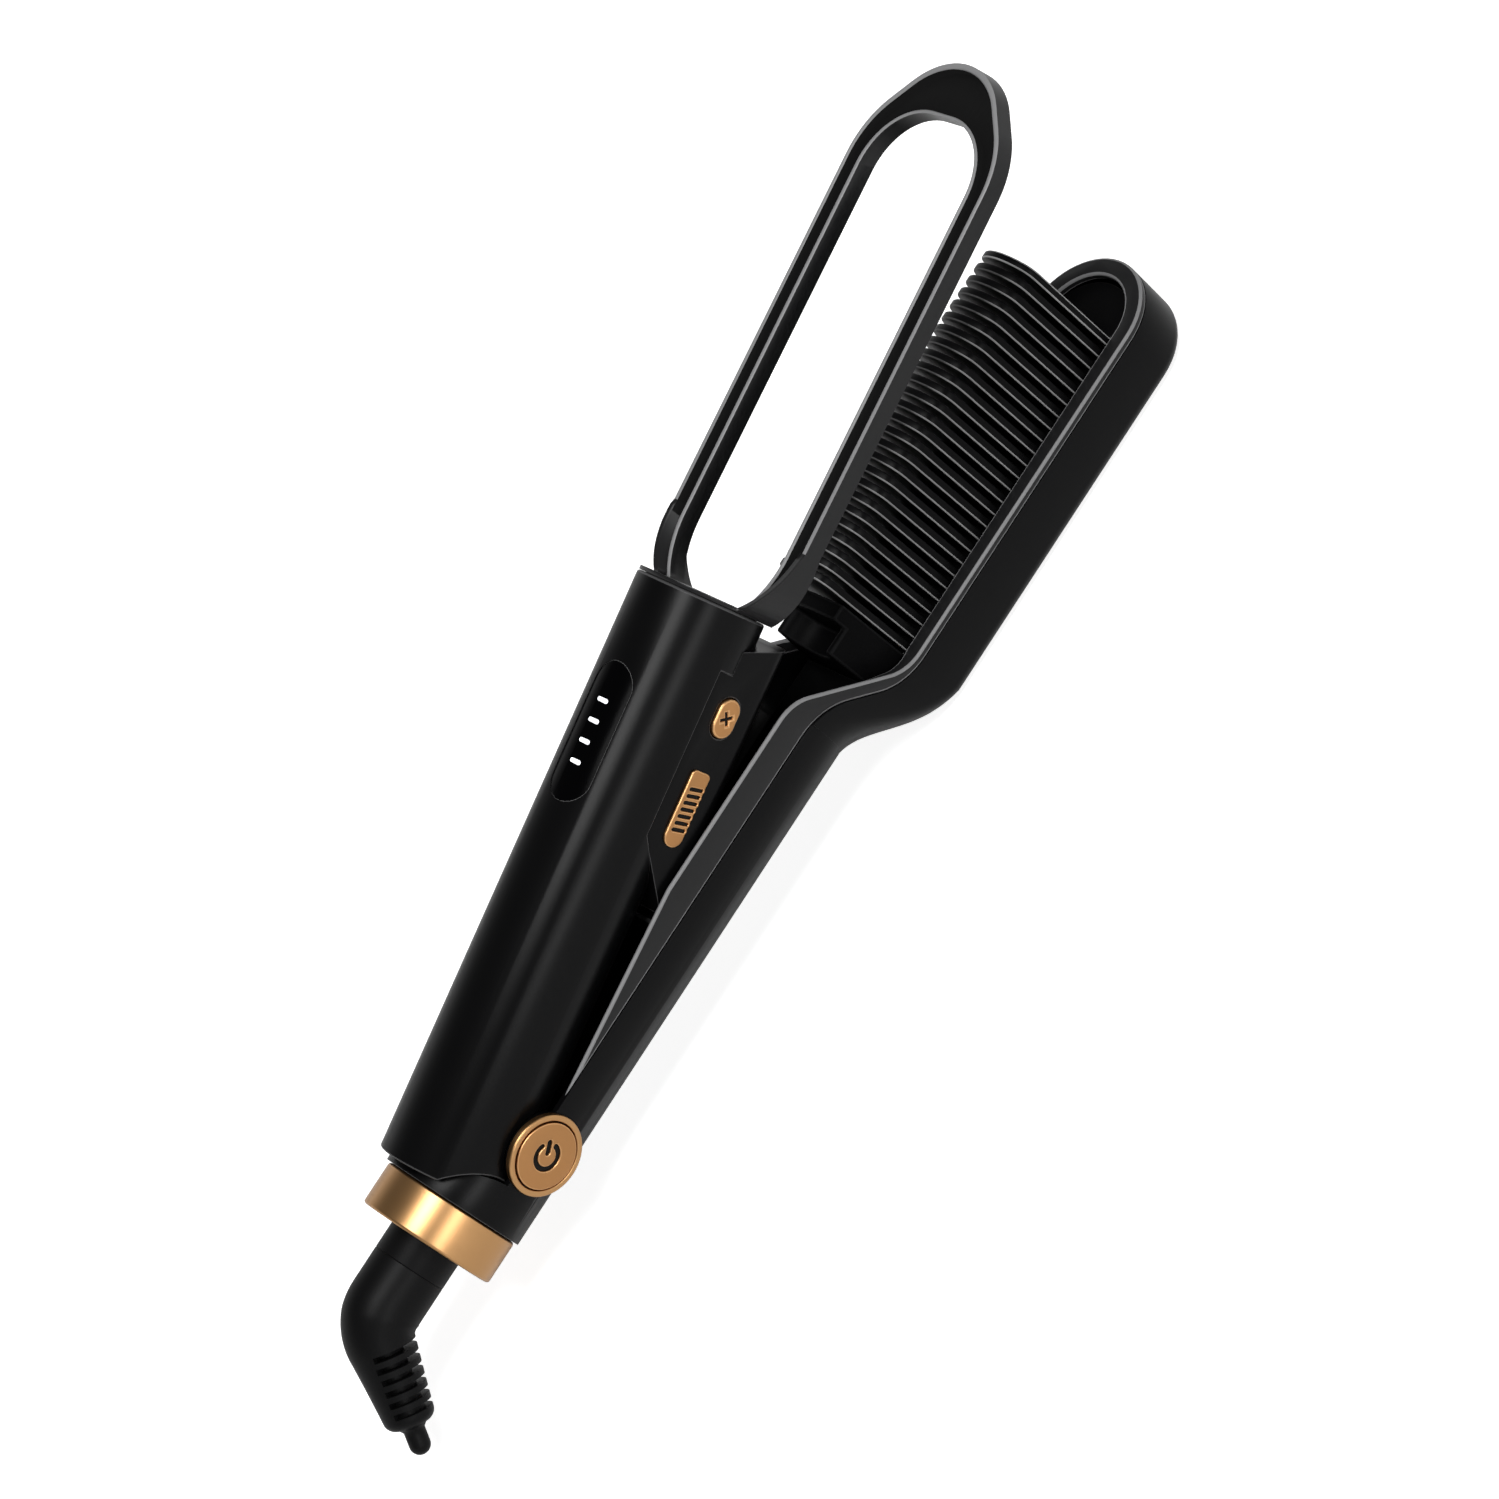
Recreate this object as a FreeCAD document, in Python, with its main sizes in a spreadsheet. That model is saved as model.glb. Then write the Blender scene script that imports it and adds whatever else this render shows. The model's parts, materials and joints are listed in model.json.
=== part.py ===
import FreeCAD, Part
import math
import os
import Sketcher
from FreeCAD import Placement, Rotation, Vector
from types import SimpleNamespace

# Hair straightening brush with a comb head and a sprung loop arm, in millimetres.
# Every piece is drawn about the hinge axis: X runs towards the comb, Z is up, the hinge lies along Y.
# The brush arm keeps that frame, the loop arm is turned up about the hinge by open_angle.
# The origin of the whole part is the middle of the flat land under the comb head.

DRIVING_SIZES = {
    # Frame
    "land_reach": (190.0, "hinge axis to the middle of the land under the head"),
    "open_angle": (12.16, "angle of the loop arm above the brush arm at rest"),
    "face_gap": (0.1, "clearance between faces that seat on each other"),
    "run_gap": (0.4, "clearance between faces that pass each other"),
    # Brush arm shell
    "arm_gap": (0.6, "handle of the loop arm inside the bore of the brush arm"),
    "arm_wall": (1.6, "wall of the brush arm shell"),
    "parting": (3.9, "height of the parting line above the hinge axis"),
    "tail_length": (20.6, "tail end behind the hinge"),
    "seam_reach": (10.6, "front edge of the tail behind the hinge"),
    "seam_drop": (3.0, "rounded front of the tail, radius less than the grip's"),
    "neck_start": (117.0, "start of the drop from grip to head"),
    "neck_end": (146.0, "end of the drop from grip to head"),
    "slope_start": (113.0, "start of the drop of the parting line and of the crest"),
    "slope_end": (146.5, "end of the drop of the parting line and of the crest"),
    "neck_slope": (47.0, "steepest angle of that drop"),
    "head_half": (17.7, "half width of the head"),
    "head_corner": (4.2, "corner radius along the bottom of the head"),
    "head_depth": (31.8, "bottom of the head below the hinge axis"),
    "head_tip": (254.6, "front of the head ahead of the hinge"),
    # Trim around the channel and the comb
    "crest": (12.4, "top of the trim walls above the hinge axis"),
    "crest_start": (66.0, "place where the trim walls reach full height"),
    "trim_start": (13.5, "rear end of the trim walls"),
    "trim_depth": (2.3, "height of the trim around the comb"),
    "rim_drop": (12.4, "top of the trim around the comb below the hinge axis"),
    "channel_gap": (0.45, "handle of the loop arm inside the trim walls"),
    "channel_end": (133.0, "place where the channel starts to narrow"),
    "bay_half": (12.9, "half width of the opening around the comb"),
    # Floor of the channel, saddle behind the comb and plate around the comb
    "floor_gap": (0.9, "handle of the loop arm above the channel floor when closed"),
    "floor_sheet": (1.4, "thickness of the channel floor and of the head plate"),
    "plate_lap": (1.3, "head plate under the trim around the comb"),
    "floor_start": (14.0, "rear end of the channel floor"),
    "saddle_rear": (133.5, "rear end of the saddle behind the comb"),
    "saddle_top": (4.5, "top of the saddle above the hinge axis"),
    "saddle_hollow": (8.6, "half width of the hollow along the saddle"),
    "saddle_dip": (6.5, "depth of the hollow along the saddle"),
    "saddle_step": (140.5, "rear face of the saddle's raised end"),
    "saddle_end": (9.0, "top of the saddle's raised end above the hinge axis"),
    "plate_front": (4.0, "head plate short of the inner wall at the tip"),
    # Comb
    "fin_first": (145.6, "rear face of the first fin"),
    "fin_pitch": (3.51, "spacing of the fins"),
    "fin_count": (26, "number of fins"),
    "fin_thick": (2.0, "thickness of a fin"),
    "fin_foot": (12.6, "half width of a fin at its foot"),
    "fin_top": (9.3, "half width of a fin at its shoulders"),
    "fin_shoulder": (15.9, "shoulder of a fin above the hinge axis"),
    "fin_crown": (3.9, "rise of the crown above the shoulders"),
    "comb_base": (2.4, "thickness of the comb base"),
    "comb_half": (11.0, "half width of the comb base"),
    "comb_margin": (0.8, "comb base beyond the outer fins"),
    # Heater stack
    "heater_half": (9.0, "half width of the heater"),
    "heater_thick": (4.6, "thickness of the heater"),
    "heater_inset": (8.0, "heater short of each end of the comb base"),
    "clamp_sheet": (1.2, "sheet of the heater clamp"),
    "shield_sheet": (0.8, "sheet of the heat shield"),
    "shield_half": (10.0, "half width of the heat shield"),
    "fuse_radius": (1.9, "radius of the thermal fuse"),
    "fuse_length": (11.0, "length of the thermal fuse"),
    "post_radius": (2.6, "radius of a screw post"),
    "post_inset": (4.0, "screw post from the end of the comb base"),
    "post_side": (6.5, "screw post from the middle plane"),
    "screw_radius": (1.1, "shank radius of a screw"),
    "screw_head": (2.1, "head radius of a screw"),
    "screw_head_height": (1.3, "head height of a screw"),
    "screw_bite": (1.6, "depth of a screw in what it holds"),
    # Tail ring and swivel
    "ring_step": (0.9, "tail ring inside the grip's surface"),
    "ring_wall": (3.3, "wall of the tail ring"),
    "ring_length": (11.2, "length of the tail ring"),
    "ring_edge": (0.6, "chamfer of the tail ring"),
    "ring_end": (1.0, "end wall of the tail ring"),
    "spigot_wall": (2.4, "wall of the spigot under the ring"),
    "bush_wall": (2.4, "wall of the swivel bush with its clearances"),
    "stem_bore": (4.0, "bore of the swivel stem"),
    "stem_flange": (2.0, "thickness of the flange that holds the stem"),
    "swivel_turn": (30.0, "turn of the boot to the user's side at rest"),
    "stem_end": (38.8, "outer end of the swivel stem behind the hinge"),
    # Cord boot
    "bend_start": (48.0, "start of the bend behind the hinge"),
    "bend_radius": (11.2, "radius of the bend at its middle line"),
    "bend_angle": (55.0, "turn of the boot"),
    "boot_length": (19.8, "tapered length of the boot"),
    "boot_taper": (3.2, "boot's end thinner than its start, on the radius"),
    "boot_round": (2.2, "chamfer at the end of the boot"),
    "nose_radius": (2.6, "radius of the nose of the boot"),
    "nose_length": (4.8, "length of the nose of the boot"),
    "slot_count": (6, "number of slots in the boot"),
    "slot_width": (1.5, "width of a slot"),
    "slot_pitch": (2.9, "spacing of the slots"),
    "slot_first": (0.6, "first slot from the end of the bend"),
    "slot_depth": (4.7, "depth of the slots below the boot's start"),
    "slot_back": (4.6, "spine of the boot beyond its middle line"),
    # Hinge
    "pin_radius": (3.0, "radius of the hinge pin"),
    "pin_fit": (0.05, "radial fit of the hinge pin"),
    "boss_radius": (9.4, "radius of the hinge bosses"),
    "boss_wall": (4.2, "thickness of a boss"),
    "boss_sink": (1.0, "outer face of a boss inside the grip's surface"),
    "boss_seat": (2.0, "depth of the seat in a boss"),
    "seat_radius": (4.0, "radius of the seat in a boss"),
    "cap_radius": (10.1, "radius of the hinge caps"),
    "cap_height": (1.7, "height of the hinge caps"),
    "bezel_bore": (8.5, "bore of the power bezel"),
    "spring_radius": (4.2, "radius of the torsion spring"),
    "spring_wire": (0.45, "wire radius of the torsion spring"),
    "spring_pitch": (1.35, "pitch of the torsion spring"),
    "spring_turns": (5, "turns of the torsion spring"),
    # Buttons
    "power_rise": (0.2, "power button above its bezel"),
    "power_thick": (1.15, "thickness of the power button"),
    "power_travel": (0.5, "travel of the power button"),
    "stalk_radius": (1.8, "radius of a button's stalk"),
    "button_rise": (0.8, "plus button and slider above the panel"),
    "button_sink": (1.2, "plus button inside its opening"),
    "key_gap": (0.3, "clearance around a key"),
    "button_half": (4.8, "half length of the plus button"),
    "button_tall": (3.1, "half height of the plus button"),
    "button_place": (108.4, "plus button ahead of the hinge"),
    "button_travel": (0.5, "travel of the plus button"),
    "key_share": (0.412, "keys down the height of the panel"),
    "slider_half": (9.4, "half length of the slider"),
    "slider_tall": (2.8, "half height of the slider"),
    "slider_place": (85.7, "slider ahead of the hinge"),
    "slider_travel": (4.0, "travel of the slider"),
    "slider_neck": (2.0, "half length of the slider's neck"),
    "slider_neck_tall": (1.0, "half height of the slider's neck"),
    # Loop arm handle
    "tube_radius": (16.0, "outer radius of the loop arm's handle"),
    "tube_wall": (2.0, "wall of the loop arm's handle"),
    "tube_lift": (10.3, "axis of the handle above the hinge"),
    "tube_rear": (14.2, "rear end of the handle behind the hinge"),
    "tube_front": (131.6, "front end of the handle ahead of the hinge"),
    "tube_block": (12.0, "end of the solid rear block ahead of the hinge"),
    "lead_bore": (2.6, "bore for the leads through the rear block"),
    "lead_lift": (7.0, "bore for the leads above the handle's axis"),
    # Control panel under the handle
    "panel_step": (0.8, "sides of the control panel inside the handle's surface"),
    "panel_top": (1.0, "top edge of the panel below the handle's axis"),
    "panel_drop": (3.3, "bottom of the panel below the handle's surface"),
    "panel_wall": (1.8, "wall of the control panel"),
    "panel_corner": (4.5, "corner radius along the bottom of the panel"),
    "panel_rear": (56.0, "rear end of the panel at its bottom"),
    "panel_front": (118.0, "front end of the panel inside the handle"),
    "toe_front": (128.5, "front end of the panel's toe under the handle"),
    "panel_rear_slope": (21.0, "length of the panel's rear slope"),
    "toe_slope": (6.0, "length of the toe's front slope"),
    "board_thick": (1.6, "thickness of a circuit board"),
    "board_gap": (0.2, "clearance around the control board"),
    "board_start": (30.0, "rear end of the control board"),
    "board_end": (112.0, "front end of the control board"),
    "keys_depth": (7.0, "inner face of the key board behind the panel's side"),
    "keys_inset": (1.2, "key board clear of the panel floor"),
    # Light window
    "window_length": (34.6, "length of the light window"),
    "window_half": (6.2, "half width of the light window"),
    "window_place": (93.4, "middle of the light window ahead of the hinge"),
    "window_turn": (6.0, "light window turned from the top to the user's side"),
    "window_depth": (0.15, "light window below the handle's surface"),
    "light_count": (4, "number of lights"),
    "light_pitch": (5.1, "spacing of the lights"),
    "light_half": (0.5, "half width of a light"),
    "light_reach": (1.65, "half length of a light"),
    # Loop
    "loop_slope": (3.0, "angle of the loop below the handle's axis"),
    "loop_drop": (0.3, "top of the loop below the handle's axis at its front end"),
    "loop_height": (5.0, "height of the loop's rails"),
    "loop_rail": (6.0, "width of the loop's rails"),
    "loop_gap": (1.8, "loop's opening beyond the sides of the head"),
    "loop_tip": (268.5, "tip of the loop ahead of the hinge"),
    "loop_bay_end": (255.0, "front of the loop's opening ahead of the hinge"),
    "loop_bay_corner": (16.0, "corner radius of the loop's opening"),
    "loop_shoulder": (24.0, "radius of the loop's front shoulders"),
    "loop_nose": (20.0, "radius of the loop's tip"),
    "loop_taper": (40.0, "angle of the loop's front edges to its rails"),
    "loop_root_step": (0.2, "rails at the handle inside its surface"),
    "loop_root_rail": (2.8, "width of the rails at the handle"),
    "loop_flare": (150.0, "end of the rails' outer flare"),
    "loop_flare_inner": (148.0, "end of the rails' inner flare"),
    "loop_lip": (1.2, "lip on both sides of the loop's groove"),
    "loop_groove": (3.0, "depth of the loop's groove"),
    "loop_cheek": (1.7, "thickness of the tall cheeks at the rails' roots"),
    "cheek_rise": (2.2, "top of a cheek above the handle's axis at the handle"),
    "cheek_drop": (9.5, "bottom of a cheek below the handle's axis at the handle"),
    "plug_length": (10.5, "loop's plug inside the handle"),
    "plug_lip": (1.0, "flange of the loop's plug ahead of the handle"),
    "loop_screw_place": (7.5, "loop screw behind the handle's front end"),
    "loop_screw_side": (5.0, "loop screw from the middle plane"),
    # Leads
    "lead_radius": (1.2, "radius of a lead"),
    "lead_side": (3.0, "lead from the middle plane"),
}


class Size:
    """A length or angle that knows its value and the sheet expression it comes from."""

    def __init__(self, value, text):
        self.value = value
        self.text = text

    def __add__(self, other):
        other = as_size(other)
        return Size(self.value + other.value, f"({self.text} + {other.text})")

    def __radd__(self, other):
        return as_size(other) + self

    def __sub__(self, other):
        other = as_size(other)
        return Size(self.value - other.value, f"({self.text} - {other.text})")

    def __rsub__(self, other):
        return as_size(other) - self

    def __mul__(self, other):
        other = as_size(other)
        return Size(self.value * other.value, f"({self.text} * {other.text})")

    def __rmul__(self, other):
        return as_size(other) * self

    def __truediv__(self, other):
        other = as_size(other)
        return Size(self.value / other.value, f"({self.text} / {other.text})")

    def __neg__(self):
        return Size(-self.value, f"(-1 * {self.text})")


def as_size(number):
    """Return a number as a Size, and a Size as it is."""
    if isinstance(number, Size):
        return number
    return Size(float(number), repr(float(number)))


def root(size):
    """Return the square root of a Size."""
    return Size(math.sqrt(size.value), f"sqrt({size.text})")


def sine(angle):
    """Return the sine of an angle in degrees."""
    return Size(math.sin(math.radians(angle.value)), f"sin({angle.text} * 1 deg)")


def cosine(angle):
    """Return the cosine of an angle in degrees."""
    return Size(math.cos(math.radians(angle.value)), f"cos({angle.text} * 1 deg)")


def half_chord(radius, height):
    """Return half the width of a circle at a height from its centre."""
    return root(radius * radius - height * height)


def bow_radius(run, rise):
    """Return the radius of an arc that leaves a line and moves a rise from it over a run."""
    return (run * run + rise * rise) / (2 * rise)


doc = FreeCAD.newDocument("hair_straightening_brush")
sheet = doc.addObject("Spreadsheet::Sheet", "Sizes")


def fill_sheet():
    """Write the driving sizes into the sheet and return them by name."""
    named = {}
    for row, (alias, (value, note)) in enumerate(DRIVING_SIZES.items(), start=1):
        sheet.set(f"A{row}", note)
        sheet.set(f"B{row}", str(value))
        sheet.setAlias(f"B{row}", alias)
        named[alias] = Size(float(value), f"Sizes.{alias}")
    doc.recompute()
    return SimpleNamespace(**named)


S = fill_sheet()
ZERO = as_size(0)

# Sizes worked out from the driving ones
ARM_BORE = S.tube_radius + S.arm_gap
ARM_RADIUS = ARM_BORE + S.arm_wall
SEAM_RADIUS = ARM_RADIUS - S.seam_drop
CHANNEL_HALF = S.tube_radius + S.channel_gap
PANEL_DEPTH = S.tube_radius + S.panel_drop
FLOOR_DROP = PANEL_DEPTH - S.tube_lift + S.floor_gap
FLOOR_HALF = half_chord(ARM_BORE - S.run_gap, FLOOR_DROP + S.floor_sheet)
PLATE_HALF = S.bay_half + S.plate_lap
RING_RADIUS = ARM_RADIUS - S.ring_step
SPIGOT_RADIUS = RING_RADIUS - S.ring_wall
SOCKET_RADIUS = SPIGOT_RADIUS - S.spigot_wall
STEM_RADIUS = SOCKET_RADIUS - S.bush_wall
BOOT_TIP = STEM_RADIUS - S.boot_taper
SLOT_CORE = STEM_RADIUS - S.slot_depth
BOSS_FACE = ARM_RADIUS - S.boss_sink
BOSS_INNER = BOSS_FACE - S.boss_wall
PANEL_HALF = S.tube_radius - S.panel_step
KEY_DROP = S.panel_top + (PANEL_DEPTH - S.panel_top) * S.key_share
KEYS_BOARD = PANEL_HALF - S.keys_depth
LOOP_INNER = S.head_half + S.loop_gap
LOOP_HALF = LOOP_INNER + S.loop_rail
PART_HALF = half_chord(ARM_RADIUS, S.parting)
RIM_FOOT = S.rim_drop + S.trim_depth
HEAD_CENTRE = S.head_tip - S.head_half
PLATE_TOP = -(RIM_FOOT + S.face_gap)
COMB_REAR = S.fin_first - S.comb_margin
COMB_FRONT = S.fin_first + (S.fin_count - 1) * S.fin_pitch + S.fin_thick + S.comb_margin
COMB_FOOT = PLATE_TOP - S.comb_base
HEAD_FLOOR = -(S.head_depth - S.arm_wall)
TAIL = -S.tail_length
RING_REAR = TAIL - S.ring_length
SPIGOT_END = RING_REAR + S.ring_end
TUBE_BORE = S.tube_radius - S.tube_wall
BOARD_HALF = half_chord(TUBE_BORE - S.board_gap, S.board_thick)
LOOP_ROOT = S.tube_radius - S.loop_root_step
LOOP_ROOT_INNER = LOOP_ROOT - S.loop_root_rail
PANEL_BOTTOM = S.tube_lift - PANEL_DEPTH
WINDOW_MIDDLE = -S.tube_radius * sine(S.window_turn)
PANEL_EDGE = S.tube_lift - S.panel_top
KEY_HEIGHT = S.tube_lift - KEY_DROP
KEY_FACE = PANEL_HALF + S.button_rise
CAP_FACE = BOSS_FACE + S.cap_height
POWER_FACE = CAP_FACE + S.power_rise
SWITCH_FACE = BOSS_FACE - S.boss_seat
ARM_TURNS = {
    "brush": (Vector(0, 1, 0), ZERO),
    "loop": (Vector(0, 1, 0), -S.open_angle),
    "swivel": (Vector(1, 0, 0), -S.swivel_turn),
}
SUBPARTS = []


def bind(thing, **sizes):
    """Set properties of a feature and tie them to the sheet.

    Args:
        thing: the document object.
        sizes: property names with their Size.
    """
    for name, size in sizes.items():
        setattr(thing, name, as_size(size).value)
        thing.setExpression(name, as_size(size).text)


def put(thing, x=ZERO, y=ZERO, z=ZERO, turn=None, axis=Vector(0, 1, 0), angle=ZERO):
    """Place a feature, with its position and angle tied to the sheet.

    Args:
        thing: the document object.
        x, y, z: its position as Sizes.
        turn: a fixed rotation, or None to turn about an axis.
        axis: the axis of a bound rotation.
        angle: the bound angle in degrees.
    """
    x, y, z, angle = as_size(x), as_size(y), as_size(z), as_size(angle)
    thing.Placement = Placement(Vector(x.value, y.value, z.value), turn or Rotation(axis, angle.value or 1.0))
    for letter, size in (("x", x), ("y", y), ("z", z)):
        thing.setExpression(f"Placement.Base.{letter}", size.text)
    if turn is None:
        thing.setExpression("Placement.Rotation.Angle", angle.text)
    return thing


def finish(thing, label, arm="brush"):
    """Name a finished sub-part and put it in the frame of its arm."""
    if thing.TypeId in ("Part::Box", "Part::Cylinder"):
        thing = group(thing)
    thing.Label = label
    axis, angle = ARM_TURNS[arm]
    put(thing, x=-S.land_reach, z=S.head_depth, axis=axis, angle=angle)
    SUBPARTS.append(thing)
    return thing


ALONG_X = Rotation(Vector(0, 1, 0), 90)
ALONG_Y = Rotation(Vector(1, 0, 0), -90)


def cylinder(radius, start, length, axis="x", at=(ZERO, ZERO)):
    """Make a cylinder along one axis.

    Args:
        radius: its radius.
        start: the coordinate of its first face along the axis.
        length: its length.
        axis: "x", "y" or "z".
        at: its place on the two other axes, in the order of the alphabet.
    """
    rod = doc.addObject("Part::Cylinder", "Rod")
    bind(rod, Radius=radius, Height=length)
    places = {"x": (start, at[0], at[1]), "y": (at[0], start, at[1]), "z": (at[0], at[1], start)}
    turns = {"x": ALONG_X, "y": ALONG_Y, "z": Rotation()}
    return put(rod, *places[axis], turn=turns[axis])


def block(x0, x1, y0, y1, z0, z1):
    """Make a block between two corners."""
    box = doc.addObject("Part::Box", "Block")
    bind(box, Length=as_size(x1) - x0, Width=as_size(y1) - y0, Height=as_size(z1) - z0)
    return put(box, x0, y0, z0, turn=Rotation())


def fuse(*shapes):
    """Join shapes into one."""
    joined = doc.addObject("Part::MultiFuse", "Joined")
    joined.Shapes = list(shapes)
    joined.Refine = True
    return joined


def group(*shapes):
    """Keep separate solids together in one node."""
    together = doc.addObject("Part::Compound", "Group")
    together.Links = list(shapes)
    return together


def cut(base, *tools):
    """Cut one or more tools out of a shape."""
    left = doc.addObject("Part::Cut", "Left")
    left.Base = base
    left.Tool = tools[0] if len(tools) == 1 else fuse(*tools)
    left.Refine = True
    return left


def overlap(first, second):
    """Keep what two shapes share."""
    shared = doc.addObject("Part::Common", "Shared")
    shared.Base = first
    shared.Tool = second
    return shared


def new_body(name):
    """Start a body."""
    return doc.addObject("PartDesign::Body", name)


def round_loop(x, y, radius):
    """Describe a circle in a sketch."""
    return SimpleNamespace(x=as_size(x), y=as_size(y), radius=as_size(radius))


def arc(x, y, fixed="x", clockwise=False):
    """Describe the arc that leaves a corner of an outline.

    Args:
        x, y: its centre.
        fixed: the coordinate of the centre that is tied to the sheet.
        clockwise: the way it runs.
    """
    return SimpleNamespace(x=as_size(x), y=as_size(y), fixed=fixed, clockwise=clockwise)


def tie(sketch, axis, piece, point, size):
    """Tie one coordinate of a sketch point to the sheet."""
    if size.value == 0 and size is ZERO:
        sketch.addConstraint(Sketcher.Constraint("PointOnObject", piece, point, -2 if axis == "X" else -1))
        return
    index = sketch.addConstraint(Sketcher.Constraint(f"Distance{axis}", -1, 1, piece, point, size.value))
    sketch.setExpression(f"Constraints[{index}]", size.text)


def draw_circle(sketch, loop):
    """Draw a circle whose centre and radius are tied to the sheet."""
    centre = Vector(loop.x.value, loop.y.value, 0)
    piece = sketch.addGeometry(Part.Circle(centre, Vector(0, 0, 1), loop.radius.value))
    index = sketch.addConstraint(Sketcher.Constraint("Radius", piece, loop.radius.value))
    sketch.setExpression(f"Constraints[{index}]", loop.radius.text)
    tie(sketch, "X", piece, 3, loop.x)
    tie(sketch, "Y", piece, 3, loop.y)


def draw_edge(sketch, corner, following):
    """Draw the edge from one corner of an outline to the next and return its ends."""
    begin = Vector(corner[0].value, corner[1].value, 0)
    end = Vector(following[0].value, following[1].value, 0)
    if len(corner) == 2:
        return sketch.addGeometry(Part.LineSegment(begin, end)), 1, 2
    bow = corner[2]
    centre = Vector(bow.x.value, bow.y.value, 0)
    turn_begin = math.atan2(begin.y - centre.y, begin.x - centre.x)
    turn_end = math.atan2(end.y - centre.y, end.x - centre.x)
    if bow.clockwise:
        turn_begin, turn_end = turn_end, turn_begin
    if turn_end <= turn_begin:
        turn_end += 2 * math.pi
    circle = Part.Circle(centre, Vector(0, 0, 1), begin.distanceToPoint(centre))
    piece = sketch.addGeometry(Part.ArcOfCircle(circle, turn_begin, turn_end))
    return (piece, 2, 1) if bow.clockwise else (piece, 1, 2)


def draw_outline(sketch, corners):
    """Draw a closed outline of lines and arcs with every corner tied to the sheet."""
    corners = [(as_size(c[0]), as_size(c[1]), *c[2:]) for c in corners]
    edges = [draw_edge(sketch, c, corners[(i + 1) % len(corners)]) for i, c in enumerate(corners)]
    for index, (piece, _, last) in enumerate(edges):
        next_piece, next_first, _ = edges[(index + 1) % len(edges)]
        sketch.addConstraint(Sketcher.Constraint("Coincident", piece, last, next_piece, next_first))
    for corner, (piece, first, _) in zip(corners, edges):
        tie(sketch, "X", piece, first, corner[0])
        tie(sketch, "Y", piece, first, corner[1])
        if len(corner) == 3:
            bow = corner[2]
            tie(sketch, bow.fixed.upper(), piece, 3, bow.x if bow.fixed == "x" else bow.y)


def sketch_on(body, plane, *loops, lift=ZERO):
    """Sketch closed loops on an origin plane of a body, lifted off it by a bound distance."""
    sketch = body.newObject("Sketcher::SketchObject", f"{body.Name}_outline")
    support = [feature for feature in body.Origin.OriginFeatures if feature.Role == plane]
    sketch.AttachmentSupport = [(support[0], "")]
    sketch.MapMode = "FlatFace"
    lift = as_size(lift)
    sketch.AttachmentOffset = Placement(Vector(0, 0, lift.value), Rotation())
    sketch.setExpression("AttachmentOffset.Base.z", lift.text)
    for loop in loops:
        if isinstance(loop, SimpleNamespace):
            draw_circle(sketch, loop)
        else:
            draw_outline(sketch, loop)
    return sketch


def extrude(body, kind, sketch, length, both=False, reverse=False):
    """Pad or pocket a sketch."""
    feature = body.newObject(f"PartDesign::{kind}", f"{body.Name}_{kind}")
    feature.Profile = sketch
    feature.SideType = "Symmetric" if both else "One side"
    feature.Reversed = reverse
    bind(feature, Length=length)
    return feature


def pad(body, plane, loops, length, lift=ZERO, both=False, reverse=False):
    """Pad closed loops off an origin plane."""
    return extrude(body, "Pad", sketch_on(body, plane, *loops, lift=lift), length, both, reverse)


def pocket(body, plane, loops, length, lift=ZERO, both=False, reverse=False):
    """Pocket closed loops into a body, against the plane's normal unless reversed."""
    return extrude(body, "Pocket", sketch_on(body, plane, *loops, lift=lift), length, both, reverse)


def loft(body, kind, sketches):
    """Loft through a row of sketches."""
    feature = body.newObject(f"PartDesign::{kind}", f"{body.Name}_{kind}")
    feature.Profile = sketches[0]
    feature.Sections = sketches[1:]
    feature.Ruled = False
    return feature


def half_turn(body, kind, sketch):
    """Revolve or groove a sketch half a turn about its upright axis."""
    feature = body.newObject(f"PartDesign::{kind}", f"{body.Name}_{kind}")
    feature.Profile = sketch
    feature.ReferenceAxis = (sketch, ["V_Axis"])
    feature.Angle = 180
    return feature


def split_circle(radius):
    """Return a circle as two half circles that meet at its top and bottom."""
    return [(ZERO, -radius, arc(ZERO, ZERO)), (ZERO, radius, arc(ZERO, ZERO))]


def rectangle(x0, x1, y0, y1):
    """Return the corners of a rectangle."""
    return [(x0, y0), (x1, y0), (x1, y1), (x0, y1)]


def tub(half, corner, bottom, top):
    """Return a cross section with round bottom corners and an open, level top."""
    return [
        (-half, top),
        (-half, bottom + corner, arc(corner - half, bottom + corner)),
        (corner - half, bottom),
        (half - corner, bottom, arc(half - corner, bottom + corner)),
        (half, bottom + corner),
        (half, top),
    ]


def half_tub(half, corner, bottom, top):
    """Return one half of such a section, up to its upright axis."""
    return [
        (ZERO, bottom),
        (half - corner, bottom, arc(half - corner, bottom + corner)),
        (half, bottom + corner),
        (half, top),
        (ZERO, top),
    ]


def slope_round(drop):
    """Return the radius of the two equal arcs of the neck's drop, with their run and their fall."""
    slope_sin = sine(S.neck_slope)
    turned = 1 - cosine(S.neck_slope)
    straight = drop * cosine(S.neck_slope)
    radius = ((S.slope_end - S.slope_start) * slope_sin - straight) / (2 * turned)
    return radius, radius * slope_sin, radius * turned


def slope_down(top, bottom):
    """Return the corners of the neck's drop between two levels: an arc, a slope and an arc."""
    radius, run, fall = slope_round(top - bottom)
    return [
        (S.slope_start, top, arc(S.slope_start, top - radius, clockwise=True)),
        (S.slope_start + run, top - fall),
        (S.slope_end - run, bottom + fall, arc(S.slope_end, bottom + radius)),
        (S.slope_end, bottom),
    ]


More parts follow.
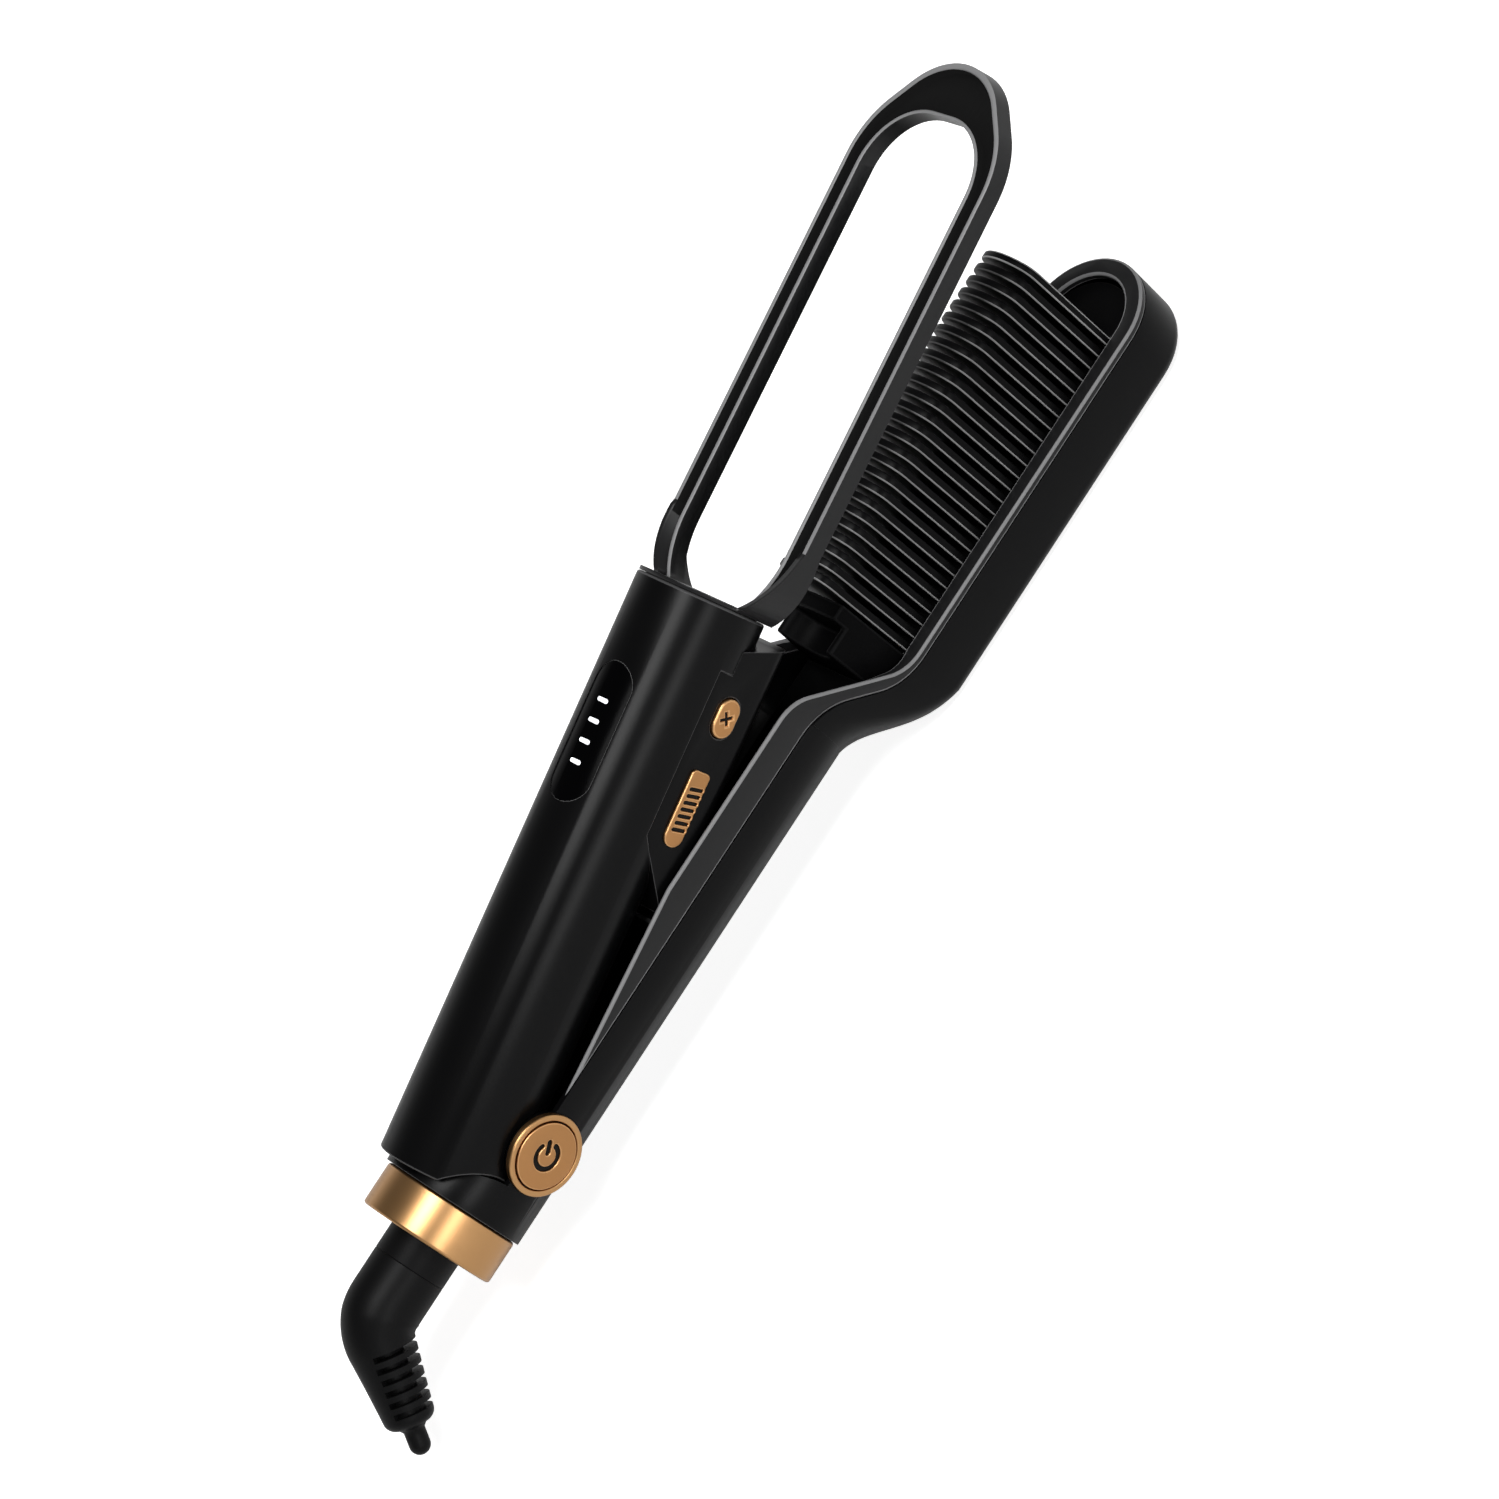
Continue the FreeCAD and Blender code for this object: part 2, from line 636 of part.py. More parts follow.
def slope_up(top, bottom):
    """Return the same drop followed from its low end to its high end."""
    radius, run, fall = slope_round(top - bottom)
    return [
        (S.slope_end, bottom, arc(S.slope_end, bottom + radius, clockwise=True)),
        (S.slope_end - run, bottom + fall),
        (S.slope_start + run, top - fall, arc(S.slope_start, top - radius)),
        (S.slope_start, top),
    ]


def neck_sections(body, inset, top):
    """Sketch the cross sections along the neck, from the round grip to the head.

    Args:
        body: the body that takes the sketches.
        inset: how far the sections lie inside the outer face.
        top: the level top of the sections.
    """
    steps = 6
    sections = []
    for step in range(steps + 1):
        share = (1 - math.cos(math.pi * step / steps)) / 2
        place = S.neck_start + (S.neck_end - S.neck_start) * (step / steps)
        half = ARM_RADIUS + (S.head_half - ARM_RADIUS) * share - inset
        grip_corner = ARM_RADIUS - S.face_gap
        corner = grip_corner + (S.head_corner - grip_corner) * share - inset
        fall = (share * (2 - share) + step / steps) / 2
        bottom = inset - ARM_RADIUS - (S.head_depth - ARM_RADIUS) * fall
        sections.append(sketch_on(body, "YZ_Plane", tub(half, corner, bottom, top), lift=place))
    return sections


def parting_line():
    """Return the corners of the parting line, from the tail to beyond the tip."""
    seam_centre = -(S.seam_reach + SEAM_RADIUS)
    return [
        (seam_centre, S.parting + SEAM_RADIUS, arc(seam_centre, S.parting, clockwise=True)),
        (-S.seam_reach, S.parting),
        *slope_down(S.parting, -RIM_FOOT),
    ]


def arm_shell():
    """Make the outer shell of the brush arm: tail, grip, neck and head in one moulding."""
    body = new_body("ArmShell")
    head_bottom = -S.head_depth
    top = ARM_RADIUS
    pad(body, "YZ_Plane", [split_circle(ARM_RADIUS)], S.neck_start - TAIL, lift=TAIL)
    loft(body, "AdditiveLoft", neck_sections(body, ZERO, top))
    head = tub(S.head_half, S.head_corner, head_bottom, top)
    pad(body, "YZ_Plane", [head], HEAD_CENTRE - S.neck_end, lift=S.neck_end)
    tip = half_tub(S.head_half, S.head_corner, head_bottom, top)
    half_turn(body, "Revolution", sketch_on(body, "YZ_Plane", tip, lift=HEAD_CENTRE)).Reversed = True
    line = parting_line()
    beyond = S.head_tip + ARM_RADIUS
    above = 2 * ARM_RADIUS
    pocket(
        body, "XZ_Plane",
        [[*line, (beyond, -RIM_FOOT), (beyond, above), (line[0][0], above)]],
        4 * ARM_RADIUS, both=True,
    )
    inner_corner = S.head_corner - S.arm_wall
    inner_half = S.head_half - S.arm_wall
    bore = S.neck_start - TAIL - S.arm_wall
    pocket(body, "YZ_Plane", [split_circle(ARM_BORE)], bore, lift=S.neck_start)
    loft(body, "SubtractiveLoft", neck_sections(body, S.arm_wall, top))
    inside = tub(inner_half, inner_corner, HEAD_FLOOR, top)
    pocket(body, "YZ_Plane", [inside], HEAD_CENTRE - S.neck_end, lift=HEAD_CENTRE)
    tip_inside = half_tub(inner_half, inner_corner, HEAD_FLOOR, top)
    half_turn(body, "Groove", sketch_on(body, "YZ_Plane", tip_inside, lift=HEAD_CENTRE)).Reversed = True
    spigot = [round_loop(ZERO, ZERO, SPIGOT_RADIUS)]
    pad(body, "YZ_Plane", spigot, S.arm_wall + TAIL - SPIGOT_END, lift=SPIGOT_END)
    socket = [round_loop(ZERO, ZERO, SOCKET_RADIUS)]
    pocket(body, "YZ_Plane", socket, 2 * S.arm_wall + TAIL - SPIGOT_END, lift=TAIL + 2 * S.arm_wall)
    hinge_bosses(body)
    screw_posts(body)
    return finish(body, "brush_arm_shell")


def hinge_bosses(body):
    """Add the two hinge bosses to the shell, each with its pin bore and its seat."""
    boss = [round_loop(ZERO, ZERO, S.boss_radius)]
    seat = [round_loop(ZERO, ZERO, S.seat_radius)]
    face = [round_loop(ZERO, ZERO, S.cap_radius + S.face_gap)]
    for reverse in (False, True):
        inner = -BOSS_INNER if reverse else BOSS_INNER
        outer = -BOSS_FACE if reverse else BOSS_FACE
        pad(body, "XZ_Plane", boss, BOSS_FACE - BOSS_INNER, lift=inner, reverse=reverse)
        pocket(body, "XZ_Plane", face, ARM_RADIUS, lift=outer, reverse=not reverse)
        pocket(body, "XZ_Plane", seat, S.boss_seat, lift=outer, reverse=reverse)
    pocket(body, "XZ_Plane", [round_loop(ZERO, ZERO, S.pin_radius)], 2 * BOSS_FACE, both=True)


def post_places():
    """Return the places of the screw posts under the comb."""
    ends = (COMB_REAR + S.post_inset, COMB_FRONT - S.post_inset)
    return [(x, side) for x in ends for side in (-S.post_side, S.post_side)]


def screw_posts(body):
    """Add the posts that carry the comb, drilled from below for their screws."""
    posts = [round_loop(x, y, S.post_radius) for x, y in post_places()]
    pad(body, "XY_Plane", posts, COMB_FOOT - HEAD_FLOOR, lift=HEAD_FLOOR)
    holes = [round_loop(x, y, S.screw_radius + S.face_gap) for x, y in post_places()]
    pocket(body, "XY_Plane", holes, S.head_depth + COMB_FOOT, lift=COMB_FOOT)
    heads = [round_loop(x, y, S.screw_head + S.face_gap) for x, y in post_places()]
    seat_depth = S.screw_head_height + S.face_gap
    pocket(body, "XY_Plane", heads, seat_depth, lift=-S.head_depth, reverse=True)


def arm_trim():
    """Make the trim that walls the channel, follows the neck and frames the comb."""
    body = new_body("ArmTrim")
    beyond = S.head_tip + ARM_RADIUS
    profile = [
        (S.trim_start, S.parting),
        *slope_down(S.parting, -RIM_FOOT),
        (beyond, -RIM_FOOT),
        (beyond, -S.rim_drop),
        *slope_up(S.crest, -S.rim_drop),
        (S.crest_start, S.crest),
    ]
    pad(body, "XZ_Plane", [profile], 2 * PART_HALF, both=True)
    far = 2 * ARM_RADIUS
    bay = [
        (S.trim_start - ARM_RADIUS, -CHANNEL_HALF),
        (S.channel_end, -CHANNEL_HALF),
        (S.neck_end, -S.bay_half),
        (HEAD_CENTRE, -S.bay_half, arc(HEAD_CENTRE, ZERO)),
        (HEAD_CENTRE, S.bay_half),
        (S.neck_end, S.bay_half),
        (S.channel_end, CHANNEL_HALF),
        (S.trim_start - ARM_RADIUS, CHANNEL_HALF),
    ]
    pocket(body, "XY_Plane", [bay], 2 * far, both=True)
    outside = rectangle(S.neck_end, beyond + far, -far, far)
    kept = [
        (ZERO, -S.head_half),
        (HEAD_CENTRE, -S.head_half, arc(HEAD_CENTRE, ZERO)),
        (HEAD_CENTRE, S.head_half),
        (ZERO, S.head_half),
    ]
    outside[0] = (-far, -far)
    outside[3] = (-far, far)
    pocket(body, "XY_Plane", [outside, kept], 2 * far, both=True)
    return finish(body, "brush_arm_trim")


def channel_floor():
    """Make the flat floor of the channel."""
    front = S.saddle_rear - S.face_gap
    low = -FLOOR_DROP - S.floor_sheet
    finish(block(S.floor_start, front, -FLOOR_HALF, FLOOR_HALF, low, -FLOOR_DROP), "channel_floor")


def comb_saddle():
    """Make the saddle between the channel and the comb, sloped like the fins and hollowed along its top."""
    body = new_body("CombSaddle")
    slant = (S.fin_foot - S.fin_top) / (S.fin_shoulder - PLATE_TOP)
    half = S.fin_foot - (S.saddle_top - PLATE_TOP) * slant
    end_half = S.fin_foot - (S.saddle_end - PLATE_TOP) * slant
    hollow = (S.saddle_hollow * S.saddle_hollow + S.saddle_dip * S.saddle_dip) / (2 * S.saddle_dip)
    centre = S.saddle_top - S.saddle_dip + hollow
    section = [
        (-S.fin_foot, PLATE_TOP),
        (S.fin_foot, PLATE_TOP),
        (half, S.saddle_top),
        (S.saddle_hollow, S.saddle_top, arc(ZERO, centre, fixed="y", clockwise=True)),
        (-S.saddle_hollow, S.saddle_top),
        (-half, S.saddle_top),
    ]
    front = COMB_REAR - S.face_gap
    pad(body, "YZ_Plane", [section], front - S.saddle_rear, lift=S.saddle_rear)
    end = [
        (-S.fin_foot, PLATE_TOP),
        (S.fin_foot, PLATE_TOP),
        (end_half, S.saddle_end),
        (-end_half, S.saddle_end),
    ]
    pad(body, "YZ_Plane", [end], front - S.saddle_step, lift=S.saddle_step)
    return finish(body, "comb_saddle")


def head_plate():
    """Make the plate that closes the head around the comb."""
    body = new_body("HeadPlate")
    rear = S.saddle_rear
    centre = HEAD_CENTRE - S.plate_front + S.head_half - S.arm_wall - PLATE_HALF
    outline = [
        (rear, -PLATE_HALF),
        (centre, -PLATE_HALF, arc(centre, ZERO)),
        (centre, PLATE_HALF),
        (rear, PLATE_HALF),
    ]
    hole = S.comb_half + S.face_gap
    window = rectangle(COMB_REAR - S.face_gap, COMB_FRONT + S.face_gap, -hole, hole)
    pad(body, "XY_Plane", [outline, window], S.floor_sheet, lift=PLATE_TOP - S.floor_sheet)
    return finish(body, "head_plate")


def comb():
    """Make the heated comb: a base with a row of crowned fins."""
    body = new_body("Comb")
    base = rectangle(COMB_REAR, COMB_FRONT, -S.comb_half, S.comb_half)
    holes = [round_loop(x, y, S.screw_radius + S.pin_fit) for x, y in post_places()]
    pad(body, "XY_Plane", [base, *holes], S.comb_base, lift=COMB_FOOT)
    crown = (S.fin_top * S.fin_top + S.fin_crown * S.fin_crown) / (2 * S.fin_crown)
    centre = S.fin_shoulder + S.fin_crown - crown
    fin = [
        (-S.fin_foot, PLATE_TOP),
        (S.fin_foot, PLATE_TOP),
        (S.fin_top, S.fin_shoulder, arc(ZERO, centre, fixed="y")),
        (-S.fin_top, S.fin_shoulder),
    ]
    first = pad(body, "YZ_Plane", [fin], S.fin_thick, lift=S.fin_first)
    row = body.newObject("PartDesign::LinearPattern", "FinRow")
    row.Originals = [first]
    row.Direction = ([f for f in body.Origin.OriginFeatures if f.Role == "X_Axis"][0], [""])
    row.Mode = "Spacing"
    bind(row, Offset=S.fin_pitch)
    row.Occurrences = int(S.fin_count.value)
    row.setExpression("Occurrences", S.fin_count.text)
    body.Tip = row
    return finish(body, "heated_comb")


def heater_parts():
    """Make the heater under the comb, its clamp, the thermal fuse and the heat shield."""
    rear = COMB_REAR + S.heater_inset
    front = COMB_FRONT - S.heater_inset
    foot = COMB_FOOT - S.heater_thick
    finish(block(rear, front, -S.heater_half, S.heater_half, foot, COMB_FOOT), "heater")
    side = S.heater_half + S.face_gap
    outer = side + S.clamp_sheet
    tray = block(rear, front, -outer, outer, foot - S.face_gap - S.clamp_sheet, COMB_FOOT - S.face_gap)
    hollow = block(rear - 1, front + 1, -side, side, foot - S.face_gap, COMB_FOOT)
    finish(cut(tray, hollow), "heater_clamp")
    clamp_foot = foot - S.face_gap - S.clamp_sheet
    middle = (rear + front) / 2
    height = clamp_foot - S.fuse_radius - S.face_gap
    fuse_start = middle - S.fuse_length / 2
    finish(cylinder(S.fuse_radius, fuse_start, S.fuse_length, at=(ZERO, height)), "thermal_fuse")
    sheet_top = HEAD_FLOOR + S.shield_sheet
    shield = block(rear, front, -S.shield_half, S.shield_half, HEAD_FLOOR, sheet_top)
    finish(shield, "heat_shield")


def screw(x, y, low, reach):
    """Make a screw that points up.

    Args:
        x, y: its place.
        low: the outer face of its head.
        reach: the length of its shank.
    """
    head = cylinder(S.screw_head, low, S.screw_head_height, "z", (x, y))
    shank = cylinder(S.screw_radius, low + S.screw_head_height, reach, "z", (x, y))
    return fuse(head, shank)


def head_screws():
    """Make the screws that hold the comb on its posts."""
    low = S.face_gap - S.head_depth
    reach = COMB_FOOT + S.screw_bite - low - S.screw_head_height
    screws = [screw(x, y, low, reach) for x, y in post_places()]
    finish(group(*screws), "head_screws")


def tail_ring():
    """Make the metal ring around the tail, with its end wall."""
    body = new_body("TailRing")
    bore = SPIGOT_RADIUS + S.face_gap
    hole = STEM_RADIUS + S.run_gap
    edge = S.ring_edge
    front = TAIL - S.face_gap
    profile = [
        (RING_REAR, hole),
        (SPIGOT_END - S.face_gap, hole),
        (SPIGOT_END - S.face_gap, bore),
        (front, bore),
        (front, RING_RADIUS - edge),
        (front - edge, RING_RADIUS),
        (RING_REAR + edge, RING_RADIUS),
        (RING_REAR, RING_RADIUS - edge),
    ]
    spin(body, profile)
    return finish(body, "tail_ring")


def spin(body, profile):
    """Revolve a profile a full turn about the X axis."""
    sketch = sketch_on(body, "XZ_Plane", profile)
    feature = body.newObject("PartDesign::Revolution", f"{body.Name}_turned")
    feature.Profile = sketch
    feature.ReferenceAxis = (sketch, ["H_Axis"])
    feature.Angle = 360


def swivel_parts():
    """Make the bush in the tail and the stem that swivels in it."""
    bush_front = TAIL - S.stem_flange
    bush = new_body("SwivelBush")
    spin(bush, rectangle(SPIGOT_END, bush_front, STEM_RADIUS + S.face_gap, SOCKET_RADIUS - S.pin_fit))
    finish(bush, "swivel_bush")
    stem = new_body("SwivelStem")
    flange_rear = bush_front + S.face_gap
    flange_radius = SOCKET_RADIUS - S.run_gap
    profile = [
        (-S.stem_end, S.stem_bore),
        (flange_rear + S.stem_flange, S.stem_bore),
        (flange_rear + S.stem_flange, flange_radius),
        (flange_rear, flange_radius),
        (flange_rear, STEM_RADIUS),
        (-S.stem_end, STEM_RADIUS),
    ]
    spin(stem, profile)
    finish(stem, "swivel_stem", "swivel")


def cord_boot():
    """Make the bent, slotted boot of the cord with its rounded nose."""
    straight = cylinder(STEM_RADIUS, -S.bend_start, S.bend_start - S.stem_end)
    bend = doc.addObject("Part::Torus", "Bend")
    bind(bend, Radius1=S.bend_radius, Radius2=STEM_RADIUS, Angle3=S.bend_angle)
    upright = Rotation(Vector(0, 0, 1), Vector(-1, 0, 0), Vector(0, -1, 0))
    put(bend, -S.bend_start, ZERO, -S.bend_radius, turn=upright)
    lean = 90 + S.bend_angle

    def along(distance):
        """Return the place on the middle line at a distance past the bend."""
        x = -S.bend_start - S.bend_radius * sine(S.bend_angle) - cosine(S.bend_angle) * distance
        z = S.bend_radius * (cosine(S.bend_angle) - 1) - sine(S.bend_angle) * distance
        return x, z

    def leaning(thing, distance):
        """Turn a shape made along +Z so that it follows the boot from a distance past the bend."""
        x, z = along(as_size(distance))
        return put(thing, x, ZERO, z, angle=-lean)

    def cone(start, length, first, last):
        """Make a length of the boot between two radii."""
        piece = doc.addObject("Part::Cone", "Taper")
        bind(piece, Radius1=first, Radius2=last, Height=length)
        return leaning(piece, start)

    def rod(radius, start, length):
        """Make a round length along the boot."""
        piece = doc.addObject("Part::Cylinder", "Round")
        bind(piece, Radius=radius, Height=length)
        return leaning(piece, start)

    body_end = S.boot_length - S.boot_round
    taper = cone(ZERO, body_end, STEM_RADIUS, BOOT_TIP)
    end = cone(body_end, S.boot_round, BOOT_TIP, BOOT_TIP - S.boot_round)
    nose = rod(S.nose_radius, S.boot_length, S.nose_length)
    ball = doc.addObject("Part::Sphere", "NoseEnd")
    bind(ball, Radius=S.nose_radius)
    leaning(ball, S.boot_length + S.nose_length)
    slots = []
    for index in range(int(S.slot_count.value)):
        start = S.slot_first + S.slot_pitch * index
        ring = rod(2 * STEM_RADIUS, start, S.slot_width)
        slots.append(cut(ring, rod(SLOT_CORE, start - 1, S.slot_width + 2)))
    side = doc.addObject("Part::Box", "SlotSide")
    bind(side, Length=4 * STEM_RADIUS, Width=4 * STEM_RADIUS, Height=2 * S.boot_length)
    x, z = along(-S.boot_length / 2)
    shift = S.slot_back
    put(
        side,
        x - sine(S.bend_angle) * shift,
        -2 * STEM_RADIUS,
        z + cosine(S.bend_angle) * shift,
        angle=-lean,
    )
    side_turned = overlap(fuse(*slots), side)
    whole = fuse(straight, bend, taper, end, nose, ball)
    finish(cut(whole, side_turned), "cord_boot", "swivel")


def hinge_parts():
    """Make the hinge pin, the far cap, the power bezel and the switch behind the power button."""
    pin_half = SWITCH_FACE - S.face_gap
    finish(cylinder(S.pin_radius - S.pin_fit, -pin_half, 2 * pin_half, "y"), "hinge_pin")
    cap = cylinder(S.cap_radius, BOSS_FACE, S.cap_height, "y")
    spigot = cylinder(S.seat_radius - S.face_gap, SWITCH_FACE + S.face_gap, S.boss_seat, "y")
    finish(fuse(cap, spigot), "hinge_cap")
    ring = cylinder(S.cap_radius, -CAP_FACE, S.cap_height, "y")
    bore = cylinder(S.bezel_bore, -CAP_FACE - 1, S.cap_height + 2, "y")
    finish(cut(ring, bore), "power_bezel")
    thick = POWER_FACE - S.power_thick - S.power_travel - S.stalk_radius / 2 - SWITCH_FACE
    finish(cylinder(S.seat_radius - S.run_gap, -SWITCH_FACE - thick, thick, "y"), "power_switch")


def power_button():
    """Make the round power button with the stalk that reaches its switch."""
    disc = cylinder(S.bezel_bore - S.key_gap, -POWER_FACE, S.power_thick, "y")
    stalk = cylinder(S.stalk_radius, S.power_thick - POWER_FACE, S.stalk_radius / 2, "y")
    finish(fuse(disc, stalk), "power_button")


def torsion_spring():
    """Make the spring around the hinge pin that opens the arms."""
    coil = doc.addObject("Part::Helix", "Coil")
    height = S.spring_pitch * S.spring_turns
    bind(coil, Radius=S.spring_radius, Pitch=S.spring_pitch, Height=height)
    wire = doc.addObject("Part::Circle", "Wire")
    bind(wire, Radius=S.spring_wire)
    put(wire, x=S.spring_radius, turn=ALONG_Y)
    spring = doc.addObject("Part::Sweep", "Spring")
    spring.Sections = [wire]
    spring.Spine = (coil, ["Edge1"])
    spring.Solid = True
    spring.Frenet = True
    turned = doc.addObject("Part::Compound", "SpringTurned")
    turned.Links = [spring]
    put(turned, y=-height / 2, turn=ALONG_Y)
    finish(group(turned), "torsion_spring", "loop")


def loop_handle():
    """Make the tubular handle of the loop arm, solid around the hinge."""
    body = new_body("LoopHandle")
    tube = [round_loop(ZERO, S.tube_lift, S.tube_radius)]
    pad(body, "YZ_Plane", tube, S.tube_front + S.tube_rear, lift=-S.tube_rear)
    bore = [round_loop(ZERO, S.tube_lift, TUBE_BORE)]
    pocket(body, "YZ_Plane", bore, S.tube_front - S.tube_block, lift=S.tube_front)
    turn_cos = cosine(S.open_angle)
    turn_sin = sine(S.open_angle)
    seam_x = -(S.seam_reach + SEAM_RADIUS)
    tail = round_loop(
        seam_x * turn_cos + S.parting * turn_sin,
        S.parting * turn_cos - seam_x * turn_sin,
        SEAM_RADIUS + S.run_gap,
    )
    wide = 4 * S.tube_radius
    pocket(body, "XZ_Plane", [tail], wide, both=True)
    lead = [round_loop(ZERO, S.tube_lift + S.lead_lift, S.lead_bore)]
    pocket(body, "YZ_Plane", lead, wide, lift=S.tube_block + 1)
    recess = [round_loop(ZERO, ZERO, S.boss_radius + S.run_gap)]
    side = BOSS_INNER - S.face_gap - S.pin_fit
    pocket(body, "XZ_Plane", recess, S.tube_radius, lift=side, reverse=True)
    pocket(body, "XZ_Plane", recess, S.tube_radius, lift=-side)
    pocket(body, "XZ_Plane", [round_loop(ZERO, ZERO, S.pin_radius + S.pin_fit)], wide, both=True)
    spring_room = S.spring_pitch * (S.spring_turns + 2)
    cavity = [round_loop(ZERO, ZERO, S.spring_radius + S.spring_wire + S.run_gap)]
    pocket(body, "XZ_Plane", cavity, spring_room, both=True)
    pocket(body, "XZ_Plane", [panel_side(ZERO, PANEL_EDGE)], wide, both=True)
    pocket(body, "XY_Plane", [window_outline(S.face_gap)], wide, lift=wide)
    screws = [round_loop(x, y, S.screw_radius + S.face_gap) for x, y in loop_screw_places()]
    pocket(body, "XY_Plane", screws, wide, lift=S.tube_lift - S.tube_radius / 2)
    return finish(body, "loop_handle", "loop")


def panel_side(inset, top):
    """Return the side view of the control panel inside the handle, with its sloping rear end.

    Args:
        inset: how far the outline lies inside the panel's own faces.
        top: its upper edge.
    """
    bottom = PANEL_BOTTOM + inset
    return [
        (S.panel_rear + inset, bottom),
        (S.panel_front - inset, bottom),
        (S.panel_front - inset, top),
        (S.panel_rear + S.panel_rear_slope + inset, top),
    ]


def window_outline(margin):
    """Return the light window seen from above, a slot with round ends."""
    half = S.window_half + margin
    reach = S.window_length / 2 - S.window_half
    rear = S.window_place - reach
    front = S.window_place + reach
    return [
        (rear, WINDOW_MIDDLE - half),
        (front, WINDOW_MIDDLE - half, arc(front, WINDOW_MIDDLE)),
        (front, WINDOW_MIDDLE + half),
        (rear, WINDOW_MIDDLE + half, arc(rear, WINDOW_MIDDLE)),
    ]


def loop_screw_places():
    """Return the places of the screws that hold the loop's plug in the handle."""
    x = S.tube_front - S.loop_screw_place
    return [(x, -S.loop_screw_side), (x, S.loop_screw_side)]


def control_panel():
    """Make the control panel under the handle, with its key openings on one side and its toe."""
    body = new_body("ControlPanel")
    wide = 4 * PANEL_HALF
    section = tub(PANEL_HALF, S.panel_corner, PANEL_BOTTOM, PANEL_EDGE)
    pad(body, "YZ_Plane", [section], S.toe_front - S.panel_rear, lift=S.panel_rear)
    frame = rectangle(S.panel_rear - wide, S.toe_front + wide, PANEL_BOTTOM - wide, PANEL_EDGE + wide)
    side = [
        (S.panel_rear, PANEL_BOTTOM),
        (S.toe_front, PANEL_BOTTOM),
        (S.toe_front - S.toe_slope, PANEL_EDGE),
        (S.panel_rear + S.panel_rear_slope, PANEL_EDGE),
    ]
    pocket(body, "XZ_Plane", [frame, side], wide, both=True)
    tube = [round_loop(ZERO, S.tube_lift, S.tube_radius + S.face_gap)]
    pocket(body, "YZ_Plane", tube, S.toe_front - S.panel_front, lift=S.toe_front)
    shanks = [round_loop(x, y, S.screw_radius + S.face_gap) for x, y in loop_screw_places()]
    pocket(body, "XY_Plane", shanks, wide, lift=PANEL_EDGE)
    heads = [round_loop(x, y, S.screw_head + S.face_gap) for x, y in loop_screw_places()]
    pocket(body, "XY_Plane", heads, wide, lift=loop_screw_seat())
    inner_half = PANEL_HALF - S.panel_wall
    pocket(body, "XZ_Plane", [panel_side(S.panel_wall, PANEL_EDGE)], 2 * inner_half, both=True)
    slider = rectangle(
        S.slider_place - S.slider_neck - S.face_gap,
        S.slider_place + S.slider_neck + S.slider_travel + S.face_gap,
        KEY_HEIGHT - S.slider_neck_tall - S.face_gap,
        KEY_HEIGHT + S.slider_neck_tall + S.face_gap,
    )
    button = key_outline(S.button_place, S.button_half + S.key_gap, S.button_tall + S.key_gap)
    pocket(body, "XZ_Plane", [slider, button], 2 * S.panel_wall, lift=inner_half - S.panel_wall, reverse=True)
    return finish(body, "control_panel", "loop")


def key_outline(place, half, tall):
    """Return a key seen from the side, a slot with round ends."""
    return [
        (place - half + tall, KEY_HEIGHT - tall),
        (place + half - tall, KEY_HEIGHT - tall, arc(place + half - tall, KEY_HEIGHT)),
        (place + half - tall, KEY_HEIGHT + tall),
        (place - half + tall, KEY_HEIGHT + tall, arc(place - half + tall, KEY_HEIGHT)),
    ]


def keys():
    """Make the plus button and the slider on the control panel."""
    inner = PANEL_HALF - S.panel_wall
    lifted = PANEL_HALF + S.face_gap
    button = new_body("PlusButton")
    outline = key_outline(S.button_place, S.button_half, S.button_tall)
    sunk = PANEL_HALF - S.button_sink
    pad(button, "XZ_Plane", [outline], S.button_sink + S.button_rise, lift=sunk)
    stalk = [round_loop(S.button_place, KEY_HEIGHT, S.stalk_radius)]
    stalk_end = inner - S.button_travel
    pad(button, "XZ_Plane", stalk, sunk - stalk_end, lift=stalk_end)
    finish(button, "plus_button", "loop")
    slider = new_body("Slider")
    outline = key_outline(S.slider_place, S.slider_half, S.slider_tall)
    pad(slider, "XZ_Plane", [outline], S.button_rise - S.face_gap, lift=lifted)
    neck = rectangle(
        S.slider_place - S.slider_neck,
        S.slider_place + S.slider_neck,
        KEY_HEIGHT - S.slider_neck_tall,
        KEY_HEIGHT + S.slider_neck_tall,
    )
    pad(slider, "XZ_Plane", [neck], lifted - inner, lift=inner)
    finish(slider, "temperature_slider", "loop")


def boards():
    """Make the control board in the handle and the key board behind the panel's keys."""
    top = S.tube_lift + S.board_thick
    board = block(S.board_start, S.board_end, -BOARD_HALF, BOARD_HALF, S.tube_lift, top)
    finish(board, "control_board", "loop")
    rear = S.panel_rear + S.panel_rear_slope + S.panel_wall + S.run_gap
    front = S.panel_front - S.panel_wall - S.run_gap
    low = PANEL_BOTTOM + S.panel_wall + S.keys_inset
    outer = -(KEYS_BOARD + S.board_thick)
    finish(block(rear, front, outer, -KEYS_BOARD, low, S.tube_lift), "key_board", "loop")
    depth = PANEL_HALF - S.panel_wall - 2 * S.button_travel - S.face_gap
    tact = block(
        S.button_place - S.button_tall, S.button_place + S.button_tall,
        -depth, outer, KEY_HEIGHT - S.button_tall, KEY_HEIGHT + S.button_tall,
    )
    slide = block(
        S.slider_place - S.slider_half / 2, S.slider_place + S.slider_half,
        S.face_gap + S.panel_wall - PANEL_HALF, outer,
        KEY_HEIGHT - S.slider_tall, KEY_HEIGHT + S.slider_tall,
    )
    finish(group(tact, slide), "key_switches", "loop")


